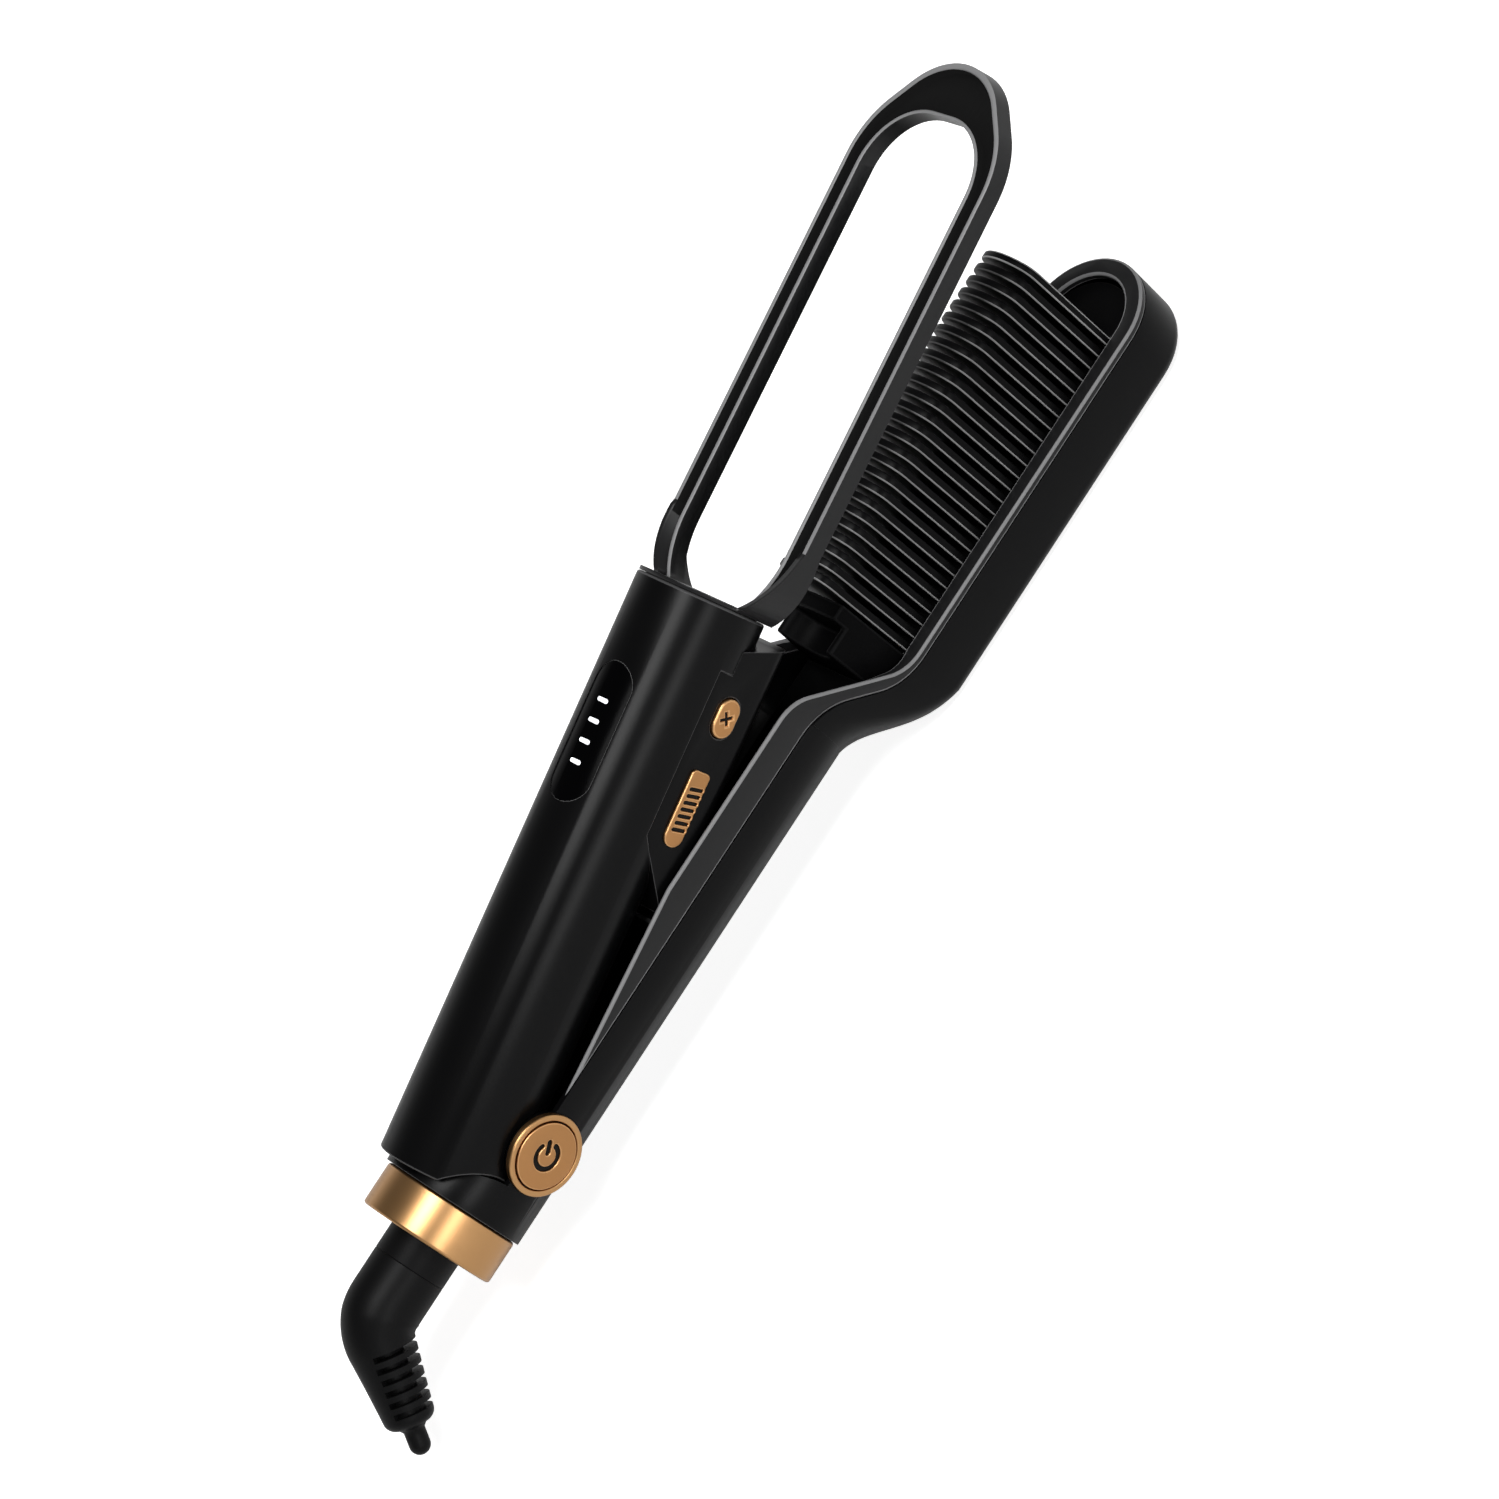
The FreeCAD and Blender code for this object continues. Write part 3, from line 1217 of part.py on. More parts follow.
def light_parts():
    """Make the window on top of the handle and the lights that shine through it."""
    window = new_body("LightWindow")
    outer = S.tube_radius - S.window_depth
    sleeve = [round_loop(ZERO, S.tube_lift, outer), round_loop(ZERO, S.tube_lift, TUBE_BORE)]
    pad(window, "YZ_Plane", sleeve, S.window_length, lift=S.window_place - S.window_length / 2)
    wide = 4 * S.tube_radius
    around = rectangle(S.window_place - wide, S.window_place + wide, -wide, wide)
    pocket(window, "XY_Plane", [around, window_outline(ZERO)], 2 * wide, both=True)
    under = rectangle(S.window_place - wide, S.window_place + wide, S.tube_lift - wide, S.tube_lift)
    pocket(window, "XZ_Plane", [under], 2 * wide, both=True)
    slots = [light_outline(index, S.face_gap) for index in range(int(S.light_count.value))]
    pocket(window, "XY_Plane", slots, wide, lift=wide)
    finish(window, "light_window", "loop")
    rods = []
    for index in range(int(S.light_count.value)):
        rods.append(light_rod(index))
    finish(group(*rods), "lights", "loop")


def light_place(index):
    """Return the place of a light along the handle."""
    return S.window_place + S.light_pitch * (index - (S.light_count - 1) / 2)


def light_outline(index, margin):
    """Return a light seen from above, a short slot across the handle."""
    x = light_place(index)
    half = S.light_half + margin
    reach = S.light_reach - S.light_half
    middle = WINDOW_MIDDLE
    return [
        (x + half, middle - reach),
        (x + half, middle + reach, arc(x, middle + reach, fixed="y")),
        (x - half, middle + reach),
        (x - half, middle - reach, arc(x, middle - reach, fixed="y")),
    ]


def light_rod(index):
    """Make one light, a rod from the control board to the face of the window."""
    body = new_body(f"Light{index}")
    low = S.tube_lift + S.board_thick
    pad(body, "XY_Plane", [light_outline(index, ZERO)], S.tube_radius, lift=low)
    x = light_place(index)
    wide = 4 * S.tube_radius
    face = S.tube_radius - S.window_depth / 2
    around = rectangle(-wide, wide, -wide, wide)
    pocket(body, "YZ_Plane", [around, round_loop(ZERO, S.tube_lift, face)], wide, lift=x + wide / 2)
    return body


def loop_outline(inset):
    """Return the loop's outer outline seen from above, from root to root.

    Args:
        inset: how far it lies inside the loop's own edge.
    """
    half = LOOP_HALF - inset
    root_half = LOOP_ROOT - inset
    shoulder = S.loop_shoulder - inset
    nose = S.loop_nose - inset
    tip = S.loop_tip - inset
    taper_sin = sine(S.loop_taper)
    taper_cos = cosine(S.loop_taper)
    slant_drop = half - shoulder * (1 - taper_cos) - nose * taper_cos
    start = tip - nose + (nose - shoulder) * taper_sin - slant_drop * taper_cos / taper_sin
    turn_x = start + shoulder * taper_sin
    turn_y = half - shoulder * (1 - taper_cos)
    nose_x = tip - nose
    nose_start = nose_x + nose * taper_sin
    nose_half = nose * taper_cos
    flare = bow_radius(S.loop_flare - S.tube_front, half - root_half)
    rear = S.tube_front - S.plug_length
    return [
        (rear, -root_half),
        (S.tube_front, -root_half, arc(S.loop_flare, flare - half)),
        (S.loop_flare, -half),
        (start, -half, arc(start, shoulder - half)),
        (turn_x, -turn_y),
        (nose_start, -nose_half, arc(nose_x, ZERO)),
        (nose_start, nose_half),
        (turn_x, turn_y, arc(start, half - shoulder)),
        (start, half),
        (S.loop_flare, half, arc(S.loop_flare, half - flare)),
        (S.tube_front, root_half),
        (rear, root_half),
    ]


def loop_bay(outset, rear):
    """Return the loop's opening seen from above.

    Args:
        outset: how far it lies outside the opening's own edge.
        rear: its rear end.
    """
    half = LOOP_INNER + outset
    root_half = LOOP_ROOT_INNER + outset
    corner = S.loop_bay_corner + outset
    end = S.loop_bay_end + outset
    flare = bow_radius(S.loop_flare_inner - S.tube_front, half - root_half)
    return [
        (rear, -root_half),
        (S.tube_front, -root_half, arc(S.loop_flare_inner, flare - half)),
        (S.loop_flare_inner, -half),
        (end - corner, -half, arc(end - corner, corner - half)),
        (end, corner - half),
        (end, half - corner, arc(end - corner, half - corner)),
        (end - corner, half),
        (S.loop_flare_inner, half, arc(S.loop_flare_inner, half - flare)),
        (S.tube_front, root_half),
        (rear, root_half),
    ]


def loop_level(x):
    """Return the top of the loop at a place along the arm."""
    fall = sine(S.loop_slope) / cosine(S.loop_slope)
    return S.tube_lift - S.loop_drop - (x - S.tube_front) * fall


def loop_frame():
    """Make the loop with its groove, the cheeks at its roots and the plug that holds it in the handle."""
    body = new_body("LoopFrame")
    wide = 4 * LOOP_HALF
    rear = S.tube_front + S.face_gap
    beyond = S.loop_tip + S.loop_nose
    band = [
        (rear, loop_level(rear) - S.loop_height),
        (beyond, loop_level(beyond) - S.loop_height),
        (beyond, loop_level(beyond)),
        (rear, loop_level(rear)),
    ]
    pad(body, "XZ_Plane", [band], wide, both=True)
    around = rectangle(S.tube_front - wide, S.loop_tip + wide, -wide, wide)
    pocket(body, "XY_Plane", [around, loop_outline(ZERO)], 2 * wide, both=True)
    pocket(body, "XY_Plane", [loop_bay(ZERO, S.tube_front - S.face_gap)], 2 * wide, both=True)
    groove(body)
    flange = [round_loop(ZERO, S.tube_lift, LOOP_ROOT)]
    pad(body, "YZ_Plane", flange, S.plug_lip, lift=rear)
    foot = S.tube_lift - S.cheek_drop
    below = rectangle(S.tube_front, S.tube_front + 2 * S.plug_lip, foot - wide, foot)
    pocket(body, "XZ_Plane", [below], 2 * wide, both=True)
    plug = [round_loop(ZERO, S.tube_lift, TUBE_BORE - S.face_gap)]
    start = S.tube_front - S.plug_length
    pad(body, "YZ_Plane", plug, S.plug_length + S.face_gap, lift=start)
    holes = [round_loop(x, y, S.screw_radius + S.face_gap) for x, y in loop_screw_places()]
    pocket(body, "XY_Plane", holes, wide, lift=S.tube_lift - S.tube_radius / 2)
    return finish(fuse(body, loop_cheeks()), "loop_frame", "loop")


def loop_cheeks():
    """Make the tall, thin cheeks along the outer side of the rails' roots."""
    body = new_body("LoopCheeks")
    wide = 4 * LOOP_HALF
    rear = S.tube_front + S.face_gap
    low = loop_level(S.loop_flare) - S.loop_height
    wedge = [
        (rear, S.tube_lift - S.cheek_drop),
        (S.loop_flare, low),
        (S.loop_flare, loop_level(S.loop_flare)),
        (rear, S.tube_lift + S.cheek_rise),
    ]
    pad(body, "XZ_Plane", [wedge], wide, both=True)
    around = rectangle(S.tube_front - wide, S.loop_tip + wide, -wide, wide)
    pocket(body, "XY_Plane", [around, loop_outline(ZERO)], 2 * wide, both=True)
    pocket(body, "XY_Plane", [loop_outline(S.loop_cheek)], 2 * wide, both=True)
    return body


def groove(body):
    """Cut the groove between the loop's lips, along the loop's sloping top."""
    level = loop_level(ZERO)
    bay = loop_bay(S.loop_lip, S.tube_front - S.face_gap)
    outline = sketch_on(body, "XY_Plane", loop_outline(S.loop_lip), bay, lift=level)
    slope = Rotation(Vector(0, 1, 0), S.loop_slope.value)
    outline.AttachmentOffset = Placement(Vector(0, 0, level.value), slope)
    outline.setExpression("AttachmentOffset.Rotation.Angle", S.loop_slope.text)
    return extrude(body, "Pocket", outline, S.loop_groove)


def loop_screw_seat():
    """Return the height of the seats of the loop's screws in the panel's toe."""
    return PANEL_BOTTOM + S.screw_head_height + S.face_gap


def loop_screws():
    """Make the screws that hold the loop's plug in the handle."""
    low = loop_screw_seat() - S.screw_head_height
    screws = [screw(x, y, low, S.tube_radius / 2) for x, y in loop_screw_places()]
    finish(group(*screws), "loop_screws", "loop")


def leads():
    """Make the leads under the channel floor and the leads in the handle."""
    height = -FLOOR_DROP - S.floor_sheet - S.lead_radius - S.face_gap
    length = S.neck_start - S.floor_start
    pair = [
        cylinder(S.lead_radius, S.floor_start, length, at=(side, height))
        for side in (-S.lead_side, S.lead_side)
    ]
    finish(group(*pair), "heater_leads")
    start = S.tube_block - S.lead_lift
    radius = S.lead_bore - S.pin_fit
    handle = cylinder(radius, start, S.board_start - start, at=(ZERO, S.tube_lift + S.lead_lift))
    finish(handle, "board_lead", "loop")


def build():
    """Build every sub-part."""
    arm_shell()
    arm_trim()
    channel_floor()
    comb_saddle()
    head_plate()
    comb()
    heater_parts()
    head_screws()
    tail_ring()
    swivel_parts()
    cord_boot()
    hinge_parts()
    power_button()
    torsion_spring()
    loop_handle()
    control_panel()
    keys()
    boards()
    light_parts()
    loop_frame()
    loop_screws()
    leads()
    doc.recompute()


def check():
    """Stop if a feature failed or a sub-part has no sound shape."""
    failed = [thing.Name for thing in doc.Objects if "Invalid" in thing.State or "Error" in thing.State]
    unsound = [
        part.Label for part in SUBPARTS
        if part.Shape.isNull() or not part.Shape.isValid() or not part.Shape.Solids
    ]
    if failed or unsound:
        raise RuntimeError(f"failed features {failed}, unsound sub-parts {unsound}")


def export():
    """Write each sub-part to its own file and print its size."""
    os.makedirs("parts", exist_ok=True)
    for part in SUBPARTS:
        part.Shape.exportStep(f"parts/{part.Label}.step")
        box = part.Shape.optimalBoundingBox()
        print(
            f"{part.Label}: {len(part.Shape.Solids)} solids, {part.Shape.Volume:.1f} mm3, "
            f"x {box.XMin:.1f} {box.XMax:.1f} y {box.YMin:.1f} {box.YMax:.1f} z {box.ZMin:.1f} {box.ZMax:.1f}"
        )


build()
check()
export()
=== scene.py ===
"""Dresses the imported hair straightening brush: meshes, materials, floor, lights and camera."""

import json
import logging
import math
from dataclasses import dataclass, field
from enum import Enum
from typing import Any, Mapping, Optional, Sequence, Union

import bmesh
import bpy
from mathutils import Matrix, Vector
from mathutils.bvhtree import BVHTree

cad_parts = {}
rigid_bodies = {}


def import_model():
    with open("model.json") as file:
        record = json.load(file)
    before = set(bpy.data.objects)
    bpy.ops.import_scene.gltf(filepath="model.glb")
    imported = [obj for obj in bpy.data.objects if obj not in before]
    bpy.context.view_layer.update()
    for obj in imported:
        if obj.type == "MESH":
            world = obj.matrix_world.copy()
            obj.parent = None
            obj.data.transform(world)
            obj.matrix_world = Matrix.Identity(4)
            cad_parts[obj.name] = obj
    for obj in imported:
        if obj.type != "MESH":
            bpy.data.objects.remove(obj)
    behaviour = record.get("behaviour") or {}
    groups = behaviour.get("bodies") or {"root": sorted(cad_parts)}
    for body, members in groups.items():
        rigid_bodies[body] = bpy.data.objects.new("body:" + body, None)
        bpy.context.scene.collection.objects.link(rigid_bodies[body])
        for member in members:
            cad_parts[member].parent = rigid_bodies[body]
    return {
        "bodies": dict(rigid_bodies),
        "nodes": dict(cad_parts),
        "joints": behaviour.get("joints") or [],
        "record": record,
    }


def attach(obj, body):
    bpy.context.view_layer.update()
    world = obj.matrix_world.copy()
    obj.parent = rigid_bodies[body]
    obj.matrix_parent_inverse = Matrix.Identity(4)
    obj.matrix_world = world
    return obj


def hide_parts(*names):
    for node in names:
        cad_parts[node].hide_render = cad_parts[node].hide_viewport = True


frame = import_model()

LOG = logging.getLogger("brush_scene")
MM = 0.001

# Names of the face marks that the materials read: a painted highlight on rounded edges and painted
# shade in hollows
EDGE_HIGHLIGHT = "edge"
PAINTED_SHADE = "painted_shade"

# Types of the sockets of node groups
NUMBER = "NodeSocketFloat"
COUNT = "NodeSocketInt"
VECTOR = "NodeSocketVector"
GEOMETRY = "NodeSocketGeometry"
MATERIAL = "NodeSocketMaterial"

# Vertices closer than this, in metres, are one
MERGE = 1e-6

# Place of the hinge in the row frame in metres, and the rest angles of what turns about it
HINGE = Vector((-0.190, 0.0, 0.0318))
OPEN_ANGLE = math.radians(12.16)
SWIVEL_TURN = math.radians(30.0)

Triple = tuple[float, float, float]
Outline = list[tuple[float, float]]
Sockets = Mapping[str, str]
Feed = Mapping[Union[str, int], Any]


class Arm(Enum):
    """Frames in which the pieces are drawn, in millimetres about the hinge: turn and axis."""

    BRUSH = (0.0, "Y")
    LOOP = (-OPEN_ANGLE, "Y")
    SWIVEL = (-SWIVEL_TURN, "X")

    @property
    def matrix(self) -> Matrix:
        """Return the matrix from this frame to the row frame."""
        angle, axis = self.value
        return Matrix.Translation(HINGE) @ Matrix.Rotation(angle, 4, axis) @ Matrix.Scale(MM, 4)


class Facing(Enum):
    """Ways a flat piece can face: its outline's two axes and the axis of its thickness."""

    USER = ((1, 0, 0), (0, 0, 1), (0, -1, 0))
    TIP = ((0, 1, 0), (0, 0, 1), (1, 0, 0))
    DOWN = ((0, 1, 0), (1, 0, 0), (0, 0, -1))

    def matrix(self, origin: Sequence[float]) -> Matrix:
        """Return the matrix that lays a flat piece at an origin."""
        return Matrix.Translation(Vector(origin)) @ Matrix(self.value).transposed().to_4x4()


class Rays(Enum):
    """Rays of light that see the plain white background."""

    CAMERA = "Is Camera Ray"
    GLOSSY = "Is Glossy Ray"
    TRANSMISSION = "Is Transmission Ray"


class Grain(Enum):
    """Fine surface textures, as stretches of the noise along the three axes."""

    SPARK = (1.0, 1.0, 1.0)
    BRUSHED = (1.0, 0.03, 0.03)
    SMOOTH = (0.4, 0.4, 0.4)


@dataclass(frozen=True)
class Finish:
    """One material and the numbers that set it.

    Attributes:
        name: material name.
        color: linear base colour.
        roughness: mean roughness.
        spread: how far the roughness wanders.
        metallic: 1 for bare metal.
        ior: index of refraction.
        edge: linear colour painted on the rounded edges as a highlight.
        grain: kind of fine texture.
        grain_scale: repeats of the grain per metre.
        grain_height: height of the grain in metres.
        glow: emission strength.
    """

    name: str
    color: Triple
    roughness: float
    spread: float = 0.05
    metallic: float = 0.0
    ior: float = 1.45
    edge: Optional[Triple] = None
    grain: Grain = Grain.SPARK
    grain_scale: float = 2600.0
    grain_height: float = 0.00001
    glow: float = 0.0


# Each finish's edge colour is painted on rounded edges as a highlight.
FINISHES = {
    finish.name: finish
    for finish in (
        Finish("shell_black", (0.002, 0.002, 0.0022), 0.3, ior=1.21, edge=(0.12, 0.12, 0.122)),
        Finish(
            "trim_black", (0.011, 0.011, 0.0115), 0.33, ior=1.32, edge=(0.3, 0.3, 0.305),
            grain_scale=3200.0, grain_height=0.000006,
        ),
        Finish("inner_black", (0.003, 0.003, 0.0032), 0.4, ior=1.09, edge=(0.012, 0.012, 0.0125)),
        Finish(
            "comb_black", (0.0025, 0.0025, 0.0027), 0.34, ior=1.16, edge=(0.3, 0.3, 0.3),
            grain_height=0.000005,
        ),
        Finish(
            "rose_gold", (0.52, 0.29, 0.125), 0.32, metallic=1.0,
            grain=Grain.BRUSHED, grain_height=0.000003,
        ),
        Finish(
            "key_gold", (0.46, 0.23, 0.09), 0.36, metallic=1.0, edge=(0.66, 0.37, 0.165),
            grain_scale=4000.0, grain_height=0.000006,
        ),
        Finish("boot_black", (0.003, 0.003, 0.0032), 0.44, ior=1.2, grain_height=0.000014),
        Finish(
            "window_black", (0.001, 0.001, 0.0012), 0.2, ior=1.09, edge=(0.2, 0.2, 0.2),
            grain=Grain.SMOOTH,
        ),
        Finish("light_white", (0.9, 0.92, 0.95), 0.3, glow=1.0, grain=Grain.SMOOTH),
        Finish("steel", (0.45, 0.45, 0.46), 0.35, metallic=1.0, grain=Grain.BRUSHED),
        Finish("heater_metal", (0.5, 0.5, 0.5), 0.4, metallic=1.0, grain=Grain.BRUSHED),
        Finish("board_green", (0.03, 0.12, 0.06), 0.4),
        Finish("switch_black", (0.006, 0.005, 0.004), 0.45, ior=1.2),
        Finish("lead_red", (0.28, 0.03, 0.025), 0.5),
    )
}


@dataclass
class Graph:
    """Builds the nodes of a node tree.

    Attributes:
        tree: the node tree.
    """

    tree: bpy.types.NodeTree

    @classmethod
    def group(
        cls, name: str, kind: str, inputs: Sockets, outputs: Sockets
    ) -> tuple["Graph", bpy.types.Node, bpy.types.Node]:
        """Start a node group.

        Args:
            name: name of the group.
            kind: type of its tree.
            inputs: names and types of its inputs.
            outputs: names and types of its outputs.

        Returns:
            The graph, the node that gives its inputs and the node that takes its outputs.
        """
        tree = bpy.data.node_groups.new(name, kind)
        for way, sockets in (("INPUT", inputs), ("OUTPUT", outputs)):
            for socket, socket_kind in sockets.items():
                tree.interface.new_socket(socket, in_out=way, socket_type=socket_kind)
        return cls(tree), tree.nodes.new("NodeGroupInput"), tree.nodes.new("NodeGroupOutput")

    def add(self, kind: str, feed: Optional[Feed] = None, **settings: Any) -> bpy.types.Node:
        """Add a node.

        Args:
            kind: type of the node.
            feed: for some of its inputs, the socket that feeds each or its plain value.
            settings: other properties of the node.

        Returns:
            The node.
        """
        node = self.tree.nodes.new(kind)
        for name, value in settings.items():
            setattr(node, name, value)
        self.feed(node, feed or {})
        return node

    def feed(self, node: bpy.types.Node, feed: Feed) -> None:
        """Link or set inputs of a node.

        Args:
            node: the node.
            feed: for some of its inputs, the socket that feeds each or its plain value.
        """
        for name, value in feed.items():
            if isinstance(value, bpy.types.NodeSocket):
                self.tree.links.new(value, node.inputs[name])
            else:
                node.inputs[name].default_value = value

    def compute(self, operation: str, *values: Any) -> bpy.types.NodeSocket:
        """Return the result of an operation on sockets and plain values."""
        return self.add("ShaderNodeMath", dict(enumerate(values)), operation=operation).outputs[0]


class GrainGroup:
    """Node group that turns object coordinates and face marks into a grain, a tone, a painted edge
    highlight and a painted shade factor.
    """

    NAME = "fine_grain"
    INPUTS = {
        "Scale": NUMBER, "Stretch": VECTOR, "Height": NUMBER, "Mean Roughness": NUMBER,
        "Spread": NUMBER,
    }
    OUTPUTS = {
        "Roughness": NUMBER, "Normal": VECTOR, "Tone": NUMBER, "Painted Highlight": NUMBER, "Unshaded": NUMBER,
    }
    FINE_DETAIL = 3.0
    BROAD_DETAIL = 4.0
    BROAD_SCALE = 55.0
    MEAN_NOISE = 0.5

    @classmethod
    def get(cls) -> bpy.types.NodeTree:
        """Return the node group, building it on first use."""
        return bpy.data.node_groups.get(cls.NAME) or cls.build()

    @classmethod
    def build(cls) -> bpy.types.NodeTree:
        """Build the node group.

        Returns:
            Its tree.
        """
        graph, into, out = Graph.group(cls.NAME, "ShaderNodeTree", cls.INPUTS, cls.OUTPUTS)
        given = into.outputs
        place = graph.add("ShaderNodeTexCoord").outputs["Object"]
        stretched = graph.add(
            "ShaderNodeVectorMath", {0: place, 1: given["Stretch"]}, operation="MULTIPLY"
        )
        fine = graph.add("ShaderNodeTexNoise", {
            "Vector": stretched.outputs[0], "Scale": given["Scale"], "Detail": cls.FINE_DETAIL,
        })
        bump = graph.add(
            "ShaderNodeBump", {"Height": fine.outputs["Fac"], "Distance": given["Height"]}
        )
        broad = graph.add("ShaderNodeTexNoise", {
            "Vector": place, "Scale": cls.BROAD_SCALE, "Detail": cls.BROAD_DETAIL,
        }).outputs["Fac"]
        centred = graph.compute("SUBTRACT", broad, cls.MEAN_NOISE)
        rough = graph.compute("MULTIPLY_ADD", centred, given["Spread"], given["Mean Roughness"])
        # Painted shade: marked hollow faces get a darker colour and a rougher surface.
        painted_shade = graph.add("ShaderNodeAttribute", attribute_name=PAINTED_SHADE).outputs["Fac"]
        # Painted highlight: share of the edge colour on rounded faces
        edge = graph.add("ShaderNodeAttribute", attribute_name=EDGE_HIGHLIGHT).outputs["Fac"]
        graph.feed(out, {
            "Roughness": graph.compute("MAXIMUM", rough, painted_shade),
            "Normal": bump.outputs["Normal"],
            "Tone": broad,
            "Painted Highlight": edge,
            "Unshaded": graph.compute("SUBTRACT", 1.0, painted_shade),
        })
        return graph.tree


class Paint:
    """Makes the materials."""

    TONES = (0.88, 1.12)

    @classmethod
    def get(cls, name: str) -> bpy.types.Material:
        """Return a material by name, building it on first use."""
        return bpy.data.materials.get(f"finish_{name}") or cls.build(FINISHES[name])

    @classmethod
    def build(cls, finish: Finish) -> bpy.types.Material:
        """Build one material.

        Args:
            finish: the numbers that set it.

        Returns:
            The material.
        """
        material = bpy.data.materials.new(f"finish_{finish.name}")
        material.use_nodes = True
        graph = Graph(material.node_tree)
        grain = graph.add("ShaderNodeGroup", node_tree=GrainGroup.get())
        graph.feed(grain, {
            "Scale": finish.grain_scale, "Stretch": finish.grain.value,
            "Height": finish.grain_height, "Mean Roughness": finish.roughness,
            "Spread": finish.spread,
        })
        given = grain.outputs
        ramp = graph.add("ShaderNodeValToRGB", {"Fac": given["Tone"]})
        for element, tone in zip(ramp.color_ramp.elements, cls.TONES):
            element.color = (*(min(1.0, tone * c) for c in finish.color), 1.0)
        # Painted highlight: rounded edges blend towards the finish's edge colour.
        mix = graph.add("ShaderNodeMix", {0: given["Painted Highlight"]}, data_type="RGBA")
        plain, highlit = [socket for socket in mix.inputs if socket.type == "RGBA"]
        graph.tree.links.new(ramp.outputs["Color"], plain)
        highlit.default_value = (*(finish.edge or finish.color), 1.0)
        mixed = next(socket for socket in mix.outputs if socket.type == "RGBA")
        # Painted shade: the colour is scaled down in marked hollows.
        shade = graph.add(
            "ShaderNodeVectorMath", {0: mixed, "Scale": given["Unshaded"]}, operation="SCALE"
        )
        graph.feed(material.node_tree.nodes["Principled BSDF"], {
            "Base Color": shade.outputs[0], "Roughness": given["Roughness"],
            "Normal": given["Normal"], "Metallic": finish.metallic, "IOR": finish.ior,
            "Emission Color": (*finish.color, 1.0), "Emission Strength": finish.glow,
        })
        return material


class Draw:
    """Outlines of flat pieces, in millimetres, listed counter-clockwise."""

    LEAST_LEAN = 0.3
    CAP_STEPS = 8

    @staticmethod
    def ray(angle: float, length: float) -> tuple[float, float]:
        """Return the end of a ray from the origin."""
        return length * math.cos(angle), length * math.sin(angle)

    @staticmethod
    def moved(outline: Outline, x: float, y: float, angle: float = 0.0) -> Outline:
        """Return an outline turned about the origin and then moved."""
        c, s = math.cos(angle), math.sin(angle)
        return [(x + a * c - b * s, y + a * s + b * c) for a, b in outline]

    @staticmethod
    def rounded(corners: Sequence[Triple], steps: int = 10) -> Outline:
        """Draw a polygon with rounded corners.

        Args:
            corners: place and radius of each corner.
            steps: facets of a corner.

        Returns:
            The outline.
        """
        outline = []
        for index, (x, y, radius) in enumerate(corners):
            here = Vector((x, y))
            back = (Vector(corners[index - 1][:2]) - here).normalized()
            ahead = (Vector(corners[(index + 1) % len(corners)][:2]) - here).normalized()
            half = back.angle(ahead) / 2
            centre = here + (back + ahead).normalized() * radius / math.sin(half)
            first = here + back * radius / math.tan(half) - centre
            sweep = math.pi - 2 * half
            turn = 1 if back.x * ahead.y - back.y * ahead.x < 0 else -1
            for step in range(steps + 1):
                spoke = Matrix.Rotation(turn * sweep * step / steps, 2) @ first
                outline.append(tuple(centre + spoke))
        return outline

    @staticmethod
    def slot(
        x: float, y: float, half: float, tall: float, angle: float = 0.0, steps: int = 14
    ) -> Outline:
        """Draw a slot with round ends.

        Args:
            x: its middle on the first axis.
            y: its middle on the second axis.
            half: half its length.
            tall: half its width.
            angle: turn of its length from the first axis in radians.
            steps: facets of each round end.

        Returns:
            The outline.
        """
        outline = []
        for end in (1, -1):
            for step in range(steps + 1):
                along, across = Draw.ray(math.pi * (step / steps - 0.5), tall)
                outline.append((end * (half - tall + along), end * across))
        return Draw.moved(outline, x, y, angle)

    @staticmethod
    def circle(radius: float, steps: int = 96) -> Outline:
        """Return a circle about the origin."""
        return [Draw.ray(2 * math.pi * step / steps, radius) for step in range(steps)]

    @staticmethod
    def bow(radius: float, width: float, start: float, end: float, steps: int = 48) -> Outline:
        """Draw a bent stroke with round ends about the origin.

        Args:
            radius: radius of its middle line.
            width: its width.
            start: angle of its first end in radians.
            end: angle of its last end in radians.
            steps: facets along it.

        Returns:
            The outline.
        """
        half, caps = width / 2, Draw.CAP_STEPS
        turns = [start + (end - start) * step / steps for step in range(steps + 1)]
        outline = [Draw.ray(a, radius + half) for a in turns]
        for middle, turn, rim in ((end, 0.0, reversed(turns)), (start, math.pi, ())):
            cap = [Draw.ray(middle + turn + math.pi * i / caps, half) for i in range(1, caps)]
            outline += Draw.moved(cap, *Draw.ray(middle, radius))
            outline += [Draw.ray(a, radius - half) for a in rim]
        return outline

    @staticmethod
    def cross(half: float, width: float) -> Outline:
        """Return an upright cross about the origin, from half its height and its bars' width."""
        w = width / 2
        return [
            (half, -w), (half, w), (w, w), (w, half), (-w, half), (-w, w),
            (-half, w), (-half, -w), (-w, -w), (-w, -half), (w, -half), (w, -w),
        ]

    @staticmethod
    def grown(outline: Outline, distance: float) -> Outline:
        """Grow an outline.

        Args:
            outline: the outline.
            distance: how far it moves outwards, or inwards if negative.

        Returns:
            The grown outline.
        """
        grown = []
        for index, point in enumerate(outline):
            here = Vector(point)
            back = (here - Vector(outline[index - 1])).normalized()
            ahead = (Vector(outline[(index + 1) % len(outline)]) - here).normalized()
            normal = Vector((back.y + ahead.y, -back.x - ahead.x)).normalized()
            lean = max(Draw.LEAST_LEAN, normal.dot(Vector((ahead.y, -ahead.x))))
            grown.append(tuple(here + normal * distance / lean))
        return grown


